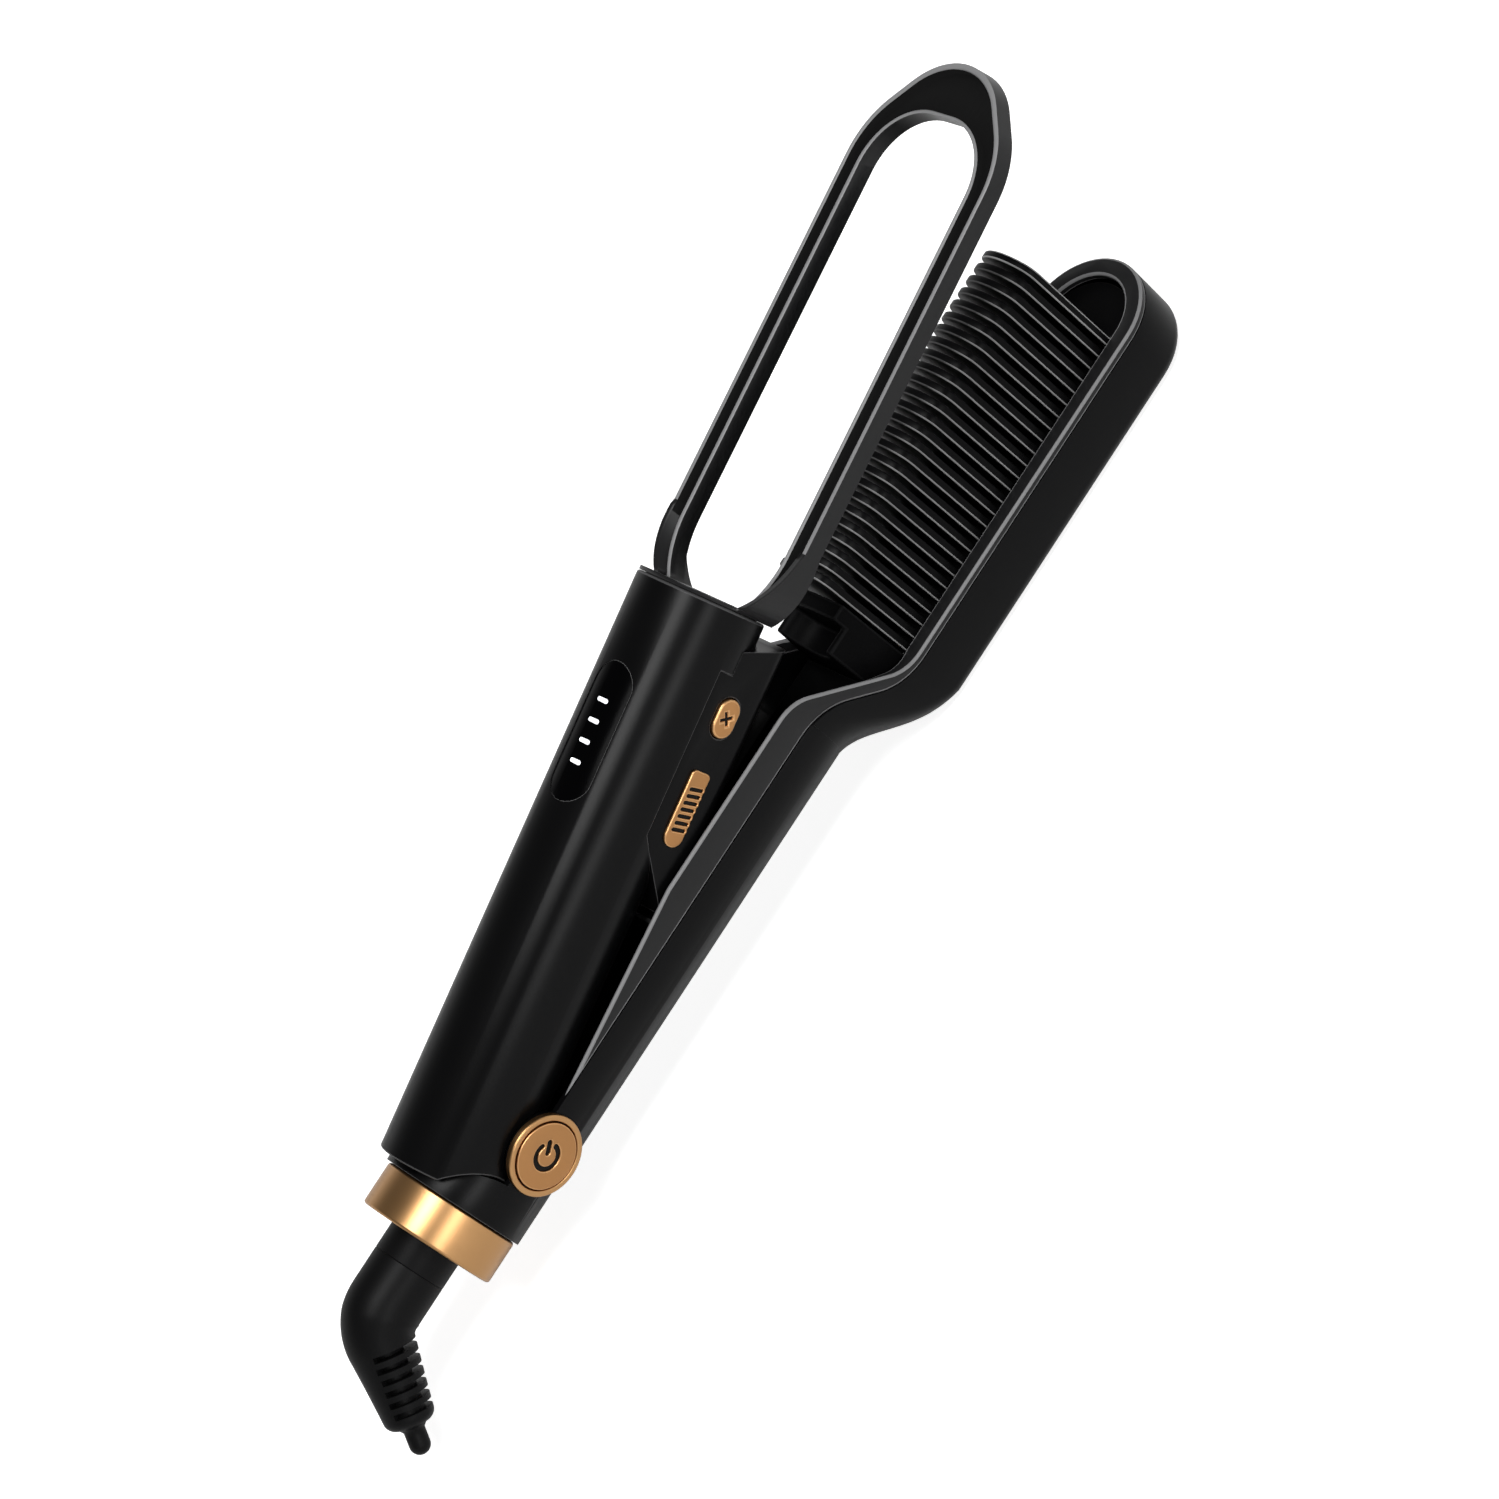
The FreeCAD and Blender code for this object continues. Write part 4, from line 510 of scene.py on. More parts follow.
class Shape:
    """Builds meshes."""

    @staticmethod
    def finish(
        shape: bmesh.types.BMesh, name: str, matrix: Matrix, sharp: float = 38.0
    ) -> bpy.types.Mesh:
        """Turn a bmesh into a smooth shaded mesh.

        Args:
            shape: the bmesh, which is freed.
            name: name of the mesh.
            matrix: where it goes.
            sharp: edges sharper than this, in degrees, stay sharp.

        Returns:
            The mesh.
        """
        shape.transform(matrix)
        bmesh.ops.recalc_face_normals(shape, faces=shape.faces)
        mesh = bpy.data.meshes.new(name)
        shape.to_mesh(mesh)
        shape.free()
        mesh.shade_smooth()
        mesh.set_sharp_from_angle(angle=math.radians(sharp))
        return mesh

    @staticmethod
    def plate(
        outlines: Sequence[Outline], thickness: float, bevel: float,
        both: bool = False, steps: int = 3,
    ) -> bmesh.types.BMesh:
        """Make a flat piece with rounded edges that carry a painted highlight.

        Args:
            outlines: the outer outline, then any holes.
            thickness: its thickness, from 0 upwards.
            bevel: radius of the rounded edges of its face.
            both: round the edges of its back too.
            steps: facets across a rounding.

        Returns:
            The piece.
        """
        shape = bmesh.new()
        mark = shape.faces.layers.float.new(EDGE_HIGHLIGHT)
        levels = [(thickness - bevel, 0.0, False)]
        for step in range(1, steps + 1):
            rise, reach = Draw.ray(math.pi / 2 * (1 - step / steps), bevel)
            levels.append((thickness - bevel + rise, bevel - reach, True))
        if both:
            flipped = enumerate(reversed(levels))
            foot = [(thickness - height, inset, i > 0) for i, (height, inset, _) in flipped]
            levels = foot + levels
        else:
            levels.insert(0, (0.0, 0.0, False))
        rims = {0: [], len(levels) - 1: []}
        for index, outline in enumerate(outlines):
            inward = -1 if index == 0 else 1
            below = None
            for number, (height, inset, rounded) in enumerate(levels):
                points = Draw.grown(outline, inward * inset)
                ring = [shape.verts.new((x, y, height)) for x, y in points]
                if number in rims:
                    pairs = zip(ring, ring[1:] + ring[:1])
                    rims[number].extend(shape.edges.new(pair) for pair in pairs)
                if below:
                    for i in range(len(ring)):
                        j = (i + 1) % len(ring)
                        face = shape.faces.new((below[i], below[j], ring[j], ring[i]))
                        # Rounded faces carry the full painted edge highlight.
                        face[mark] = 1.0 if rounded else 0.0
                below = ring
        for edges in rims.values():
            bmesh.ops.triangle_fill(shape, use_beauty=True, use_dissolve=False, edges=edges)
        return shape

    @staticmethod
    def tube(rings: Sequence[Sequence[Vector]], closed: bool = False) -> bmesh.types.BMesh:
        """Skin a row of rings of equal length.

        Args:
            rings: the rings, in order.
            closed: join the last ring to the first instead of closing both ends.

        Returns:
            The skin.
        """
        shape = bmesh.new()
        rows = [[shape.verts.new(point) for point in ring] for ring in rings]
        pairs = list(zip(rows, rows[1:]))
        if closed:
            pairs.append((rows[-1], rows[0]))
        else:
            shape.faces.new(rows[0])
            shape.faces.new(rows[-1])
        for low, high in pairs:
            for i in range(len(low)):
                j = (i + 1) % len(low)
                shape.faces.new((low[i], low[j], high[j], high[i]))
        return shape

    @staticmethod
    def lathe(profile: Outline, steps: int = 160) -> bmesh.types.BMesh:
        """Spin a closed profile of places and radii about the first axis."""
        rings = [[Vector((x, y, z)) for y, z in Draw.circle(r, steps)] for x, r in profile]
        return Shape.tube(rings, closed=True)


class CopyRow:
    """Geometry node group that repeats a mesh in rows and ends in one plain mesh."""

    NAME = "copy_rows"
    INPUTS = {
        "Geometry": GEOMETRY, "Count": COUNT, "Step": VECTOR, "Rows": COUNT, "Row Step": VECTOR,
        "Material": MATERIAL,
    }
    OUTPUTS = {"Geometry": GEOMETRY}

    @classmethod
    def get(cls) -> bpy.types.NodeTree:
        """Return the node group, building it on first use."""
        return bpy.data.node_groups.get(cls.NAME) or cls.build()

    @classmethod
    def build(cls) -> bpy.types.NodeTree:
        """Build the node group.

        Returns:
            Its tree.
        """
        graph, into, out = Graph.group(cls.NAME, "GeometryNodeTree", cls.INPUTS, cls.OUTPUTS)
        graph.tree.is_modifier = True
        given = into.outputs
        copied = given["Geometry"]
        for count, step in (("Count", "Step"), ("Rows", "Row Step")):
            line = graph.add("GeometryNodeMeshLine", {"Count": given[count], "Offset": given[step]})
            spread = graph.add(
                "GeometryNodeInstanceOnPoints",
                {"Points": line.outputs["Mesh"], "Instance": copied},
            )
            copied = spread.outputs["Instances"]
        real = graph.add("GeometryNodeRealizeInstances", {"Geometry": copied})
        paint = graph.add(
            "GeometryNodeSetMaterial",
            {"Geometry": real.outputs["Geometry"], "Material": given["Material"]},
        )
        graph.feed(out, {"Geometry": paint.outputs["Geometry"]})
        return graph.tree

    @classmethod
    def spread(
        cls, mesh: bpy.types.Mesh, finish: str, count: int, step: Vector,
        rows: int = 1, row_step: Triple = (0.0, 0.0, 0.0),
    ) -> bpy.types.Mesh:
        """Repeat a mesh.

        Args:
            mesh: the mesh to repeat.
            finish: finish of the copies.
            count: copies in a row.
            step: distance from copy to copy in metres.
            rows: number of rows.
            row_step: distance from row to row in metres.

        Returns:
            A mesh with all the copies.
        """
        tree = cls.get()
        values = {
            "Count": count, "Step": step, "Rows": rows, "Row Step": row_step,
            "Material": Paint.get(finish),
        }
        holder = add_object(f"{mesh.name}_row", mesh)
        modifier = holder.modifiers.new("rows", "NODES")
        modifier.node_group = tree
        for item in tree.interface.items_tree:
            if item.in_out == "INPUT" and item.name in values:
                modifier[item.identifier] = values[item.name]
        graph = bpy.context.evaluated_depsgraph_get()
        copies = bpy.data.meshes.new_from_object(holder.evaluated_get(graph))
        bpy.data.objects.remove(holder)
        return copies


def add_object(name: str, data: bpy.types.ID) -> bpy.types.Object:
    """Put a mesh, a light or a camera in the scene at the origin.

    Args:
        name: name of the object.
        data: what it shows.

    Returns:
        The object.
    """
    thing = bpy.data.objects.new(name, data)
    bpy.context.scene.collection.objects.link(thing)
    return thing


def joined(name: str, *meshes: bpy.types.Mesh) -> bpy.types.Mesh:
    """Join meshes.

    Args:
        name: name of the new mesh.
        meshes: the meshes.

    Returns:
        One mesh made of them.
    """
    shape = bmesh.new()
    for mesh in meshes:
        shape.from_mesh(mesh)
    whole = bpy.data.meshes.new(name)
    shape.to_mesh(whole)
    shape.free()
    return whole


@dataclass(frozen=True)
class Rounding:
    """How the edges of a moulding are rounded, and how much painted highlight they carry.

    Attributes:
        width: width of the rounding in metres.
        highlight_share: share of the finish's edge colour painted on the rounding as a highlight.
    """

    width: float
    highlight_share: float = 0.5


@dataclass
class Dresser:
    """Puts refined meshes in place of CAD nodes, on the same bodies.

    Attributes:
        pieces: the pieces that it has added.
    """

    frame: dict
    pieces: list[bpy.types.Object] = field(default_factory=list)

    FLAT_ANGLE = math.radians(0.4)
    SHARP_ANGLE = math.radians(32.0)
    ROUND_STEPS = 3

    def mesh_of(self, node: str) -> bpy.types.Mesh:
        """Return the mesh of a CAD node."""
        return self.frame["nodes"][node].data

    def body_of(self, node: str) -> str:
        """Return the body that carries a node."""
        bodies = self.frame["record"]["behaviour"]["bodies"]
        return next(body for body, nodes in bodies.items() if node in nodes)

    def slot_of(self, node: str) -> str:
        """Return the material slot of a node."""
        subparts = self.frame["record"]["subparts"]
        return next(part["material_slot"] for part in subparts if part["node"] == node)

    @staticmethod
    def coat(mesh: bpy.types.Mesh, slot: str) -> None:
        """Give a mesh the finish of a slot."""
        mesh.materials.clear()
        mesh.materials.append(Paint.get(slot))

    def add(self, name: str, mesh: bpy.types.Mesh, body: str, slot: str) -> bpy.types.Object:
        """Add a piece.

        Args:
            name: its name.
            mesh: its mesh.
            body: the body it rides on.
            slot: the slot whose finish it takes.

        Returns:
            The piece.
        """
        piece = add_object(name, mesh)
        self.coat(mesh, slot)
        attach(piece, body)
        self.pieces.append(piece)
        return piece

    def replace(self, node: str, mesh: bpy.types.Mesh) -> None:
        """Let a mesh stand for a node: same body, slot and finish."""
        piece = self.add(f"{node}_dressed", mesh, self.body_of(node), self.slot_of(node))
        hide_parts(node)

    @staticmethod
    def chains(edges: Sequence[bmesh.types.BMEdge]) -> list[list[bmesh.types.BMEdge]]:
        """Sort edges into connected chains, in an order that is the same in each run.

        Args:
            edges: the edges.

        Returns:
            The chains.
        """
        left = dict.fromkeys(edges)
        chains = []
        while left:
            queue = [left.popitem()[0]]
            chain = []
            while queue:
                edge = queue.pop()
                chain.append(edge)
                for near in (other for vert in edge.verts for other in vert.link_edges):
                    if near in left:
                        del left[near]
                        queue.append(near)
            chains.append(chain)
        return chains

    def rounded(self, node: str, rounding: Rounding) -> None:
        """Replace a node with a copy whose sharp edges are rounded and carry a painted highlight.

        Args:
            node: the CAD node.
            rounding: how its edges are rounded.
        """
        shape = bmesh.new()
        shape.from_mesh(self.mesh_of(node))
        mark = shape.faces.layers.float.new(EDGE_HIGHLIGHT)
        bmesh.ops.remove_doubles(shape, verts=shape.verts, dist=MERGE)
        bmesh.ops.dissolve_limit(
            shape, angle_limit=self.FLAT_ANGLE, verts=shape.verts, edges=shape.edges, delimit=set()
        )
        inner = [edge for edge in shape.edges if len(edge.link_faces) == 2]
        sharp = [edge for edge in inner if edge.calc_face_angle() > self.SHARP_ANGLE]
        for chain in self.chains(sharp):
            made = bmesh.ops.bevel(
                shape, geom=chain, offset=rounding.width, offset_type="OFFSET",
                segments=self.ROUND_STEPS, profile=0.5, affect="EDGES", clamp_overlap=True,
            )
            # Painted highlight: the new rounded faces carry the edge colour at this share.
            for face in made["faces"]:
                face[mark] = rounding.highlight_share
        self.replace(node, Shape.finish(shape, f"{node}_rounded", Matrix.Identity(4)))


@dataclass
class SubAssembly:
    """Pieces that are built together.

    Attributes:
        dresser: puts the pieces in place.
    """

    dresser: Dresser

    def build(self) -> None:
        """Build the pieces and dress them."""
        raise NotImplementedError


@dataclass
class Mouldings(SubAssembly):
    """Shells, trim, handle, panel and the parts between them."""

    # Rounding width of each moulding's edges, with its share of painted edge highlight.
    ROUNDINGS = {
        "brush_arm_shell": Rounding(0.0005),
        "brush_arm_trim": Rounding(0.0008, highlight_share=0.65),
        "loop_handle": Rounding(0.0006),
        "control_panel": Rounding(0.0006),
        "comb_saddle": Rounding(0.0008),
        "head_plate": Rounding(0.0002),
        "channel_floor": Rounding(0.0003),
        "light_window": Rounding(0.0002, highlight_share=0.8),
        "hinge_cap": Rounding(0.0005),
        "swivel_stem": Rounding(0.0003),
    }

    def build(self) -> None:
        """Round the edges of every moulding and paint a highlight on them."""
        for node, rounding in self.ROUNDINGS.items():
            self.dresser.rounded(node, rounding)


@dataclass
class Loop(SubAssembly):
    """The loop: its lips become beads with a painted highlight beside a groove darkened by painted
    shade, in metres.

    Attributes:
        bead: width of the rounding on both sides of a lip.
        bead_drop: how far the sides of a lip drop.
        lip_depth: how far below the top a lip may lie.
        lip_highlight: share of the finish's edge colour painted on the lips as a highlight.
        sunk: least depth of the groove's faces.
        widest: width of the groove at its widest.
        shade: how dark the painted shade in the groove is, up to 1.
        ray_lift: how far above a face the ray to the opposite wall starts.
        level: least cosine to the lips' direction of a level face.
        upward: least rise of a normal that counts as upward.
    """

    bead: float = 0.0004
    bead_drop: float = 0.0003
    lip_depth: float = 0.0001
    lip_highlight: float = 0.8
    sunk: float = 0.0005
    widest: float = 0.016
    shade: float = 0.9
    ray_lift: float = 1e-5
    level: float = 0.999
    upward: float = 0.9

    def round_lips(self, shape: bmesh.types.BMesh, up: Vector, top: float) -> None:
        """Round the level lips at the top of the loop and paint a highlight on them.

        Args:
            shape: the loop.
            up: direction in which its lips face.
            top: level of its lips along that direction.
        """
        mark = shape.faces.layers.float[EDGE_HIGHLIGHT]
        level = [face for face in shape.faces if face.normal.dot(up) > self.level]
        lips = [f for f in level if top - f.calc_center_median().dot(up) < self.lip_depth]
        sides = bmesh.ops.inset_region(
            shape, faces=lips, thickness=self.bead, use_boundary=True, use_even_offset=True
        )["faces"]
        kept = {vert for face in lips for vert in face.verts}
        for vert in {vert for face in sides for vert in face.verts} - kept:
            vert.co -= up * self.bead_drop
        # Painted highlight on the lips and their rounded sides.
        for face in (*lips, *sides):
            face[mark] = self.lip_highlight
        shape.normal_update()

    def paint_groove_shade(self, shape: bmesh.types.BMesh, up: Vector, top: float) -> None:
        """Paint shade on the floor and the walls of the groove.

        Args:
            shape: the loop.
            up: direction in which its lips face.
            top: level of its lips along that direction.
        """
        mark = shape.faces.layers.float[PAINTED_SHADE]
        tree = BVHTree.FromBMesh(shape)
        for face in shape.faces:
            middle, normal = face.calc_center_median(), face.normal
            crest = max(vert.co.dot(up) for vert in face.verts)
            if top - middle.dot(up) > self.sunk and crest < top + self.sunk:
                met = tree.ray_cast(middle + normal * self.ray_lift, normal, self.widest)[0]
                # Painted shade on groove faces that look across to a wall, and on the groove's
                # floor.
                face[mark] = self.shade if met or normal.dot(up) > self.level else 0.0

    def build(self) -> None:
        """Dress a copy of the loop."""
        shape = bmesh.new()
        shape.from_mesh(self.dresser.mesh_of("loop_frame"))
        for name in (EDGE_HIGHLIGHT, PAINTED_SHADE):
            shape.faces.layers.float.new(name)
        bmesh.ops.remove_doubles(shape, verts=shape.verts, dist=MERGE)
        upper = [face for face in shape.faces if face.normal.z > self.upward]
        up = max(upper, key=lambda face: face.calc_area()).normal.copy()
        level = [face for face in upper if face.normal.dot(up) > self.level]
        top = max(face.calc_center_median().dot(up) for face in level)
        self.round_lips(shape, up, top)
        self.paint_groove_shade(shape, up, top)
        mesh = Shape.finish(shape, "loop_dressed", Matrix.Identity(4))
        self.dresser.replace("loop_frame", mesh)


@dataclass
class Comb(SubAssembly):
    """The heated comb: a base and a row of crowned fins, in millimetres.

    Attributes:
        first, pitch, count: place of the first fin, distance between fins and how many.
        thick, edge: thickness of a fin and the rounding of its edges.
        foot, foot_half: level of a fin's foot and half its width there.
        shoulder, shoulder_half: the same where its sides would meet its crown.
        crown, crown_share: rise of the crown and how much of it is kept.
        corner: length of a side that the corner takes.
        crown_steps, corner_steps: facets of half the crown and of a corner.
        highlight_share, near_highlight: share of the painted edge highlight on the rear edges, and
            more on the near side.
        near_start, near_span: where that starts and over how much of the half width it grows.
        base_half, base_thick: half the width of the base, and its thickness.
        base_corner, base_edge: rounding of the base's corners and of its ends.
        margin: how far the base reaches past the fins.
    """

    first: float = 145.6
    pitch: float = 3.51
    count: int = 26
    thick: float = 2.0
    edge: float = 0.35
    foot: float = -14.8
    foot_half: float = 12.6
    shoulder: float = 15.9
    shoulder_half: float = 9.3
    crown: float = 3.9
    crown_share: float = 0.78
    crown_steps: int = 12
    corner: float = 2.4
    corner_steps: int = 8
    highlight_share: float = 0.2
    near_highlight: float = 0.7
    near_start: float = 0.4
    near_span: float = 0.4
    base_half: float = 11.0
    base_thick: float = 2.4
    base_corner: float = 0.6
    base_edge: float = 0.3
    margin: float = 0.8

    def fin_outline(self) -> Outline:
        """Draw a fin seen from the tip.

        Returns:
            The outline.
        """
        radius = (self.shoulder_half ** 2 + self.crown ** 2) / (2 * self.crown)
        centre = self.shoulder + self.crown - radius
        reach = math.asin(self.shoulder_half / radius) * self.crown_share
        turns = [reach * (1 - i / self.crown_steps) for i in range(2 * self.crown_steps + 1)]
        top = [(radius * math.sin(a), centre + radius * math.cos(a)) for a in turns]
        foot = Vector((self.foot_half, self.foot))
        bend = Vector((self.shoulder_half, self.shoulder))
        low = bend - (bend - foot).normalized() * self.corner
        side = [tuple(foot), tuple(low)]
        for step in range(1, self.corner_steps):
            t = step / self.corner_steps
            point = (1 - t) ** 2 * low + 2 * t * (1 - t) * bend + t * t * Vector(top[0])
            side.append(tuple(point))
        return side + top + [(-x, y) for x, y in reversed(side)]

    def paint_fin_highlight(self, fin: bmesh.types.BMesh) -> None:
        """Keep the painted highlight on a fin's rear-side edges only, faint on the crown and far
        side, stronger on the near side.

        Args:
            fin: a fin that lies flat, with its rear side down.
        """
        mark = fin.faces.layers.float[EDGE_HIGHLIGHT]
        # Painted highlight: kept on rear-side rounded faces, growing towards the near side;
        # front-side faces lose it.
        for face in fin.faces:
            middle = face.calc_center_median()
            near = max(0.0, -middle.x / self.shoulder_half - self.near_start) / self.near_span
            rear = self.highlight_share + self.near_highlight * min(1.0, near)
            face[mark] *= rear if middle.z < self.thick / 2 else 0.0

    @staticmethod
    def at(x: float, z: float) -> Matrix:
        """Return the matrix that lays a flat piece across the comb."""
        return Arm.BRUSH.matrix @ Facing.TIP.matrix((x, 0.0, z))

    def fin(self, index: int, light: bool) -> bpy.types.Mesh:
        """Make a fin.

        Args:
            index: its number, 0 at the rear.
            light: keep the painted highlight only on its rear-side edges; without it the highlight
                stays on all edges.

        Returns:
            The fin.
        """
        shape = Shape.plate([self.fin_outline()], self.thick, self.edge, both=True)
        if light:
            self.paint_fin_highlight(shape)
        return Shape.finish(shape, f"fin_{index}", self.at(self.first + self.pitch * index, 0.0))

    def base(self) -> bpy.types.Mesh:
        """Make the base.

        Returns:
            The base.
        """
        half, low, corner = self.base_half, -self.base_thick, self.base_corner
        places = ((-half, low), (half, low), (half, 0.0), (-half, 0.0))
        outline = Draw.rounded([(x, y, corner) for x, y in places])
        length = (self.count - 1) * self.pitch + self.thick + 2 * self.margin
        shape = Shape.plate([outline], length, self.base_edge, both=True)
        return Shape.finish(shape, "comb_base", self.at(self.first - self.margin, self.foot))

    def build(self) -> None:
        """Build the base and repeat the fin along it; the last fin keeps the painted edge highlight
        on both sides.
        """
        step = Vector((self.pitch * MM, 0.0, 0.0))
        fins = CopyRow.spread(self.fin(0, True), "comb_black", self.count - 1, step)
        whole = joined("heated_comb", fins, self.fin(self.count - 1, False), self.base())
        self.dresser.replace("heated_comb", whole)


@dataclass
class Keys(SubAssembly):
    """Power button with its bezel, plus button and slider, in millimetres.

    Attributes:
        bezel_radius and on: the ring around the power button.
        power_radius and on: the power button, whose face is measured from the middle plane.
        icon_radius and on: the bow of the power icon.
        bar_place, bar_half: the icon's bar, as shares of the bow's radius.
        key_face, key_height: face and level of the two keys on the panel.
        plus_place and on: the plus button, with half its length and half its width.
        cross_half and on: its mark.
        slider_place and on: the slider, in the same way.
        slider_front, slider_rear: radii of its front corners and of its rear end.
        slot_count and on: its slots.
        mark_depth and on: floors of the engraved marks.
    """

    bezel_radius: float = 10.1
    bezel_bore: float = 8.5
    bezel_rear: float = 17.2
    bezel_face: float = 18.9
    bezel_edge: float = 0.5
    power_radius: float = 8.2
    power_face: float = 19.1
    power_thick: float = 1.15
    power_edge: float = 0.25
    icon_radius: float = 3.1
    icon_stroke: float = 1.25
    icon_turn: float = math.radians(27.0)
    icon_gap: float = math.radians(38.0)
    bar_place: float = 0.7
    bar_half: float = 0.62
    key_face: float = 16.0
    key_height: float = 1.76
    plus_place: float = 108.4
    plus_half: float = 4.8
    plus_tall: float = 3.1
    plus_thick: float = 2.0
    plus_edge: float = 0.5
    cross_half: float = 1.7
    cross_width: float = 0.62
    cross_turn: float = math.radians(30.0)
    slider_place: float = 85.7
    slider_half: float = 9.4
    slider_tall: float = 2.8
    slider_thick: float = 0.7
    slider_edge: float = 0.3
    slider_front: float = 1.3
    slider_rear: float = 2.78
    slot_count: int = 7
    slot_pitch: float = 1.68
    slot_half: float = 2.05
    slot_tall: float = 0.42
    slot_turn: float = math.radians(-82.0)
    slot_drop: float = 0.4
    slot_steps: int = 6
    mark_depth: float = 0.45
    mark_lap: float = 0.05
    mark_edge: float = 0.02

    @staticmethod
    def flat(
        name: str, arm: Arm, outlines: Sequence[Outline], face: float, thick: float, bevel: float
    ) -> bpy.types.Mesh:
        """Make a flat key.

        Args:
            name: name of the mesh.
            arm: frame of the key.
            outlines: its outline, then any holes.
            face: distance of its face from the middle plane.
            thick: its thickness.
            bevel: radius of its edges.

        Returns:
            The key.
        """
        place = arm.matrix @ Facing.USER.matrix((0.0, thick - face, 0.0))
        return Shape.finish(Shape.plate(outlines, thick, bevel), name, place)

    def mark(self, name: str, arm: Arm, outline: Outline, face: float) -> bpy.types.Mesh:
        """Return the dark floor of a mark engraved in a face."""
        grown, deep = Draw.grown(outline, self.mark_lap), self.mark_depth
        return self.flat(name, arm, [grown], face - deep, deep / 2, self.mark_edge)

    def power(self) -> None:
        """Build the power button, its icon and its bezel."""
        arm = Arm.BRUSH
        ring = [Draw.circle(self.bezel_radius), Draw.circle(self.bezel_bore)]
        thick = self.bezel_face - self.bezel_rear
        bezel = self.flat("bezel", arm, ring, self.bezel_face, thick, self.bezel_edge)
        self.dresser.replace("power_bezel", bezel)
        start = self.icon_turn + self.icon_gap
        end = self.icon_turn + 2 * math.pi - self.icon_gap
        bow = Draw.bow(self.icon_radius, self.icon_stroke, start, end)
        middle, half = self.icon_radius * self.bar_place, self.icon_radius * self.bar_half
        bar = Draw.slot(middle, 0.0, half, self.icon_stroke / 2)
        bar = Draw.moved(bar, 0.0, 0.0, self.icon_turn)
        face = [Draw.circle(self.power_radius), bow, bar]
        button = self.flat("power", arm, face, self.power_face, self.power_thick, self.power_edge)
        self.dresser.replace("power_button", button)
        marks = [self.mark("icon", arm, outline, self.power_face) for outline in (bow, bar)]
        self.dresser.add("power_icon", joined("power_icon", *marks), "power_key", "switch_black")

    def plus(self) -> None:
        """Build the plus button and its mark."""
        place = (self.plus_place, self.key_height)
        outline = Draw.slot(*place, self.plus_half, self.plus_tall)
        cross = Draw.moved(Draw.cross(self.cross_half, self.cross_width), *place, self.cross_turn)
        button = self.flat(
            "plus", Arm.LOOP, [outline, cross], self.key_face, self.plus_thick, self.plus_edge
        )
        self.dresser.replace("plus_button", button)
        mark = self.mark("plus_mark", Arm.LOOP, cross, self.key_face)
        self.dresser.add("plus_mark", mark, "plus_key", "switch_black")

    def slider(self) -> None:
        """Build the slider with its slanted slots."""
        rear, front = self.slider_place - self.slider_half, self.slider_place + self.slider_half
        low, high = self.key_height - self.slider_tall, self.key_height + self.slider_tall
        outline = Draw.rounded([
            (rear, low, self.slider_rear), (front, low, self.slider_front),
            (front, high, self.slider_front), (rear, high, self.slider_rear),
        ])
        start = self.slider_place - self.slot_pitch * (self.slot_count - 1) / 2
        level = self.key_height - self.slot_drop
        form = (self.slot_half, self.slot_tall, self.slot_turn, self.slot_steps)
        places = [start + self.slot_pitch * i for i in range(self.slot_count)]
        slots = [Draw.slot(place, level, *form) for place in places]
        body = self.flat(
            "slider", Arm.LOOP, [outline, *slots], self.key_face, self.slider_thick,
            self.slider_edge,
        )
        self.dresser.replace("temperature_slider", body)
        first = self.mark("slider_slot", Arm.LOOP, slots[0], self.key_face)
        along = (Arm.LOOP.matrix.to_3x3() @ Vector((1.0, 0.0, 0.0))) * self.slot_pitch
        marks = CopyRow.spread(first, "switch_black", self.slot_count, along)
        self.dresser.add("slider_slots", marks, "slider_key", "switch_black")

    def build(self) -> None:
        """Build all keys."""
        self.power()
        self.plus()
        self.slider()


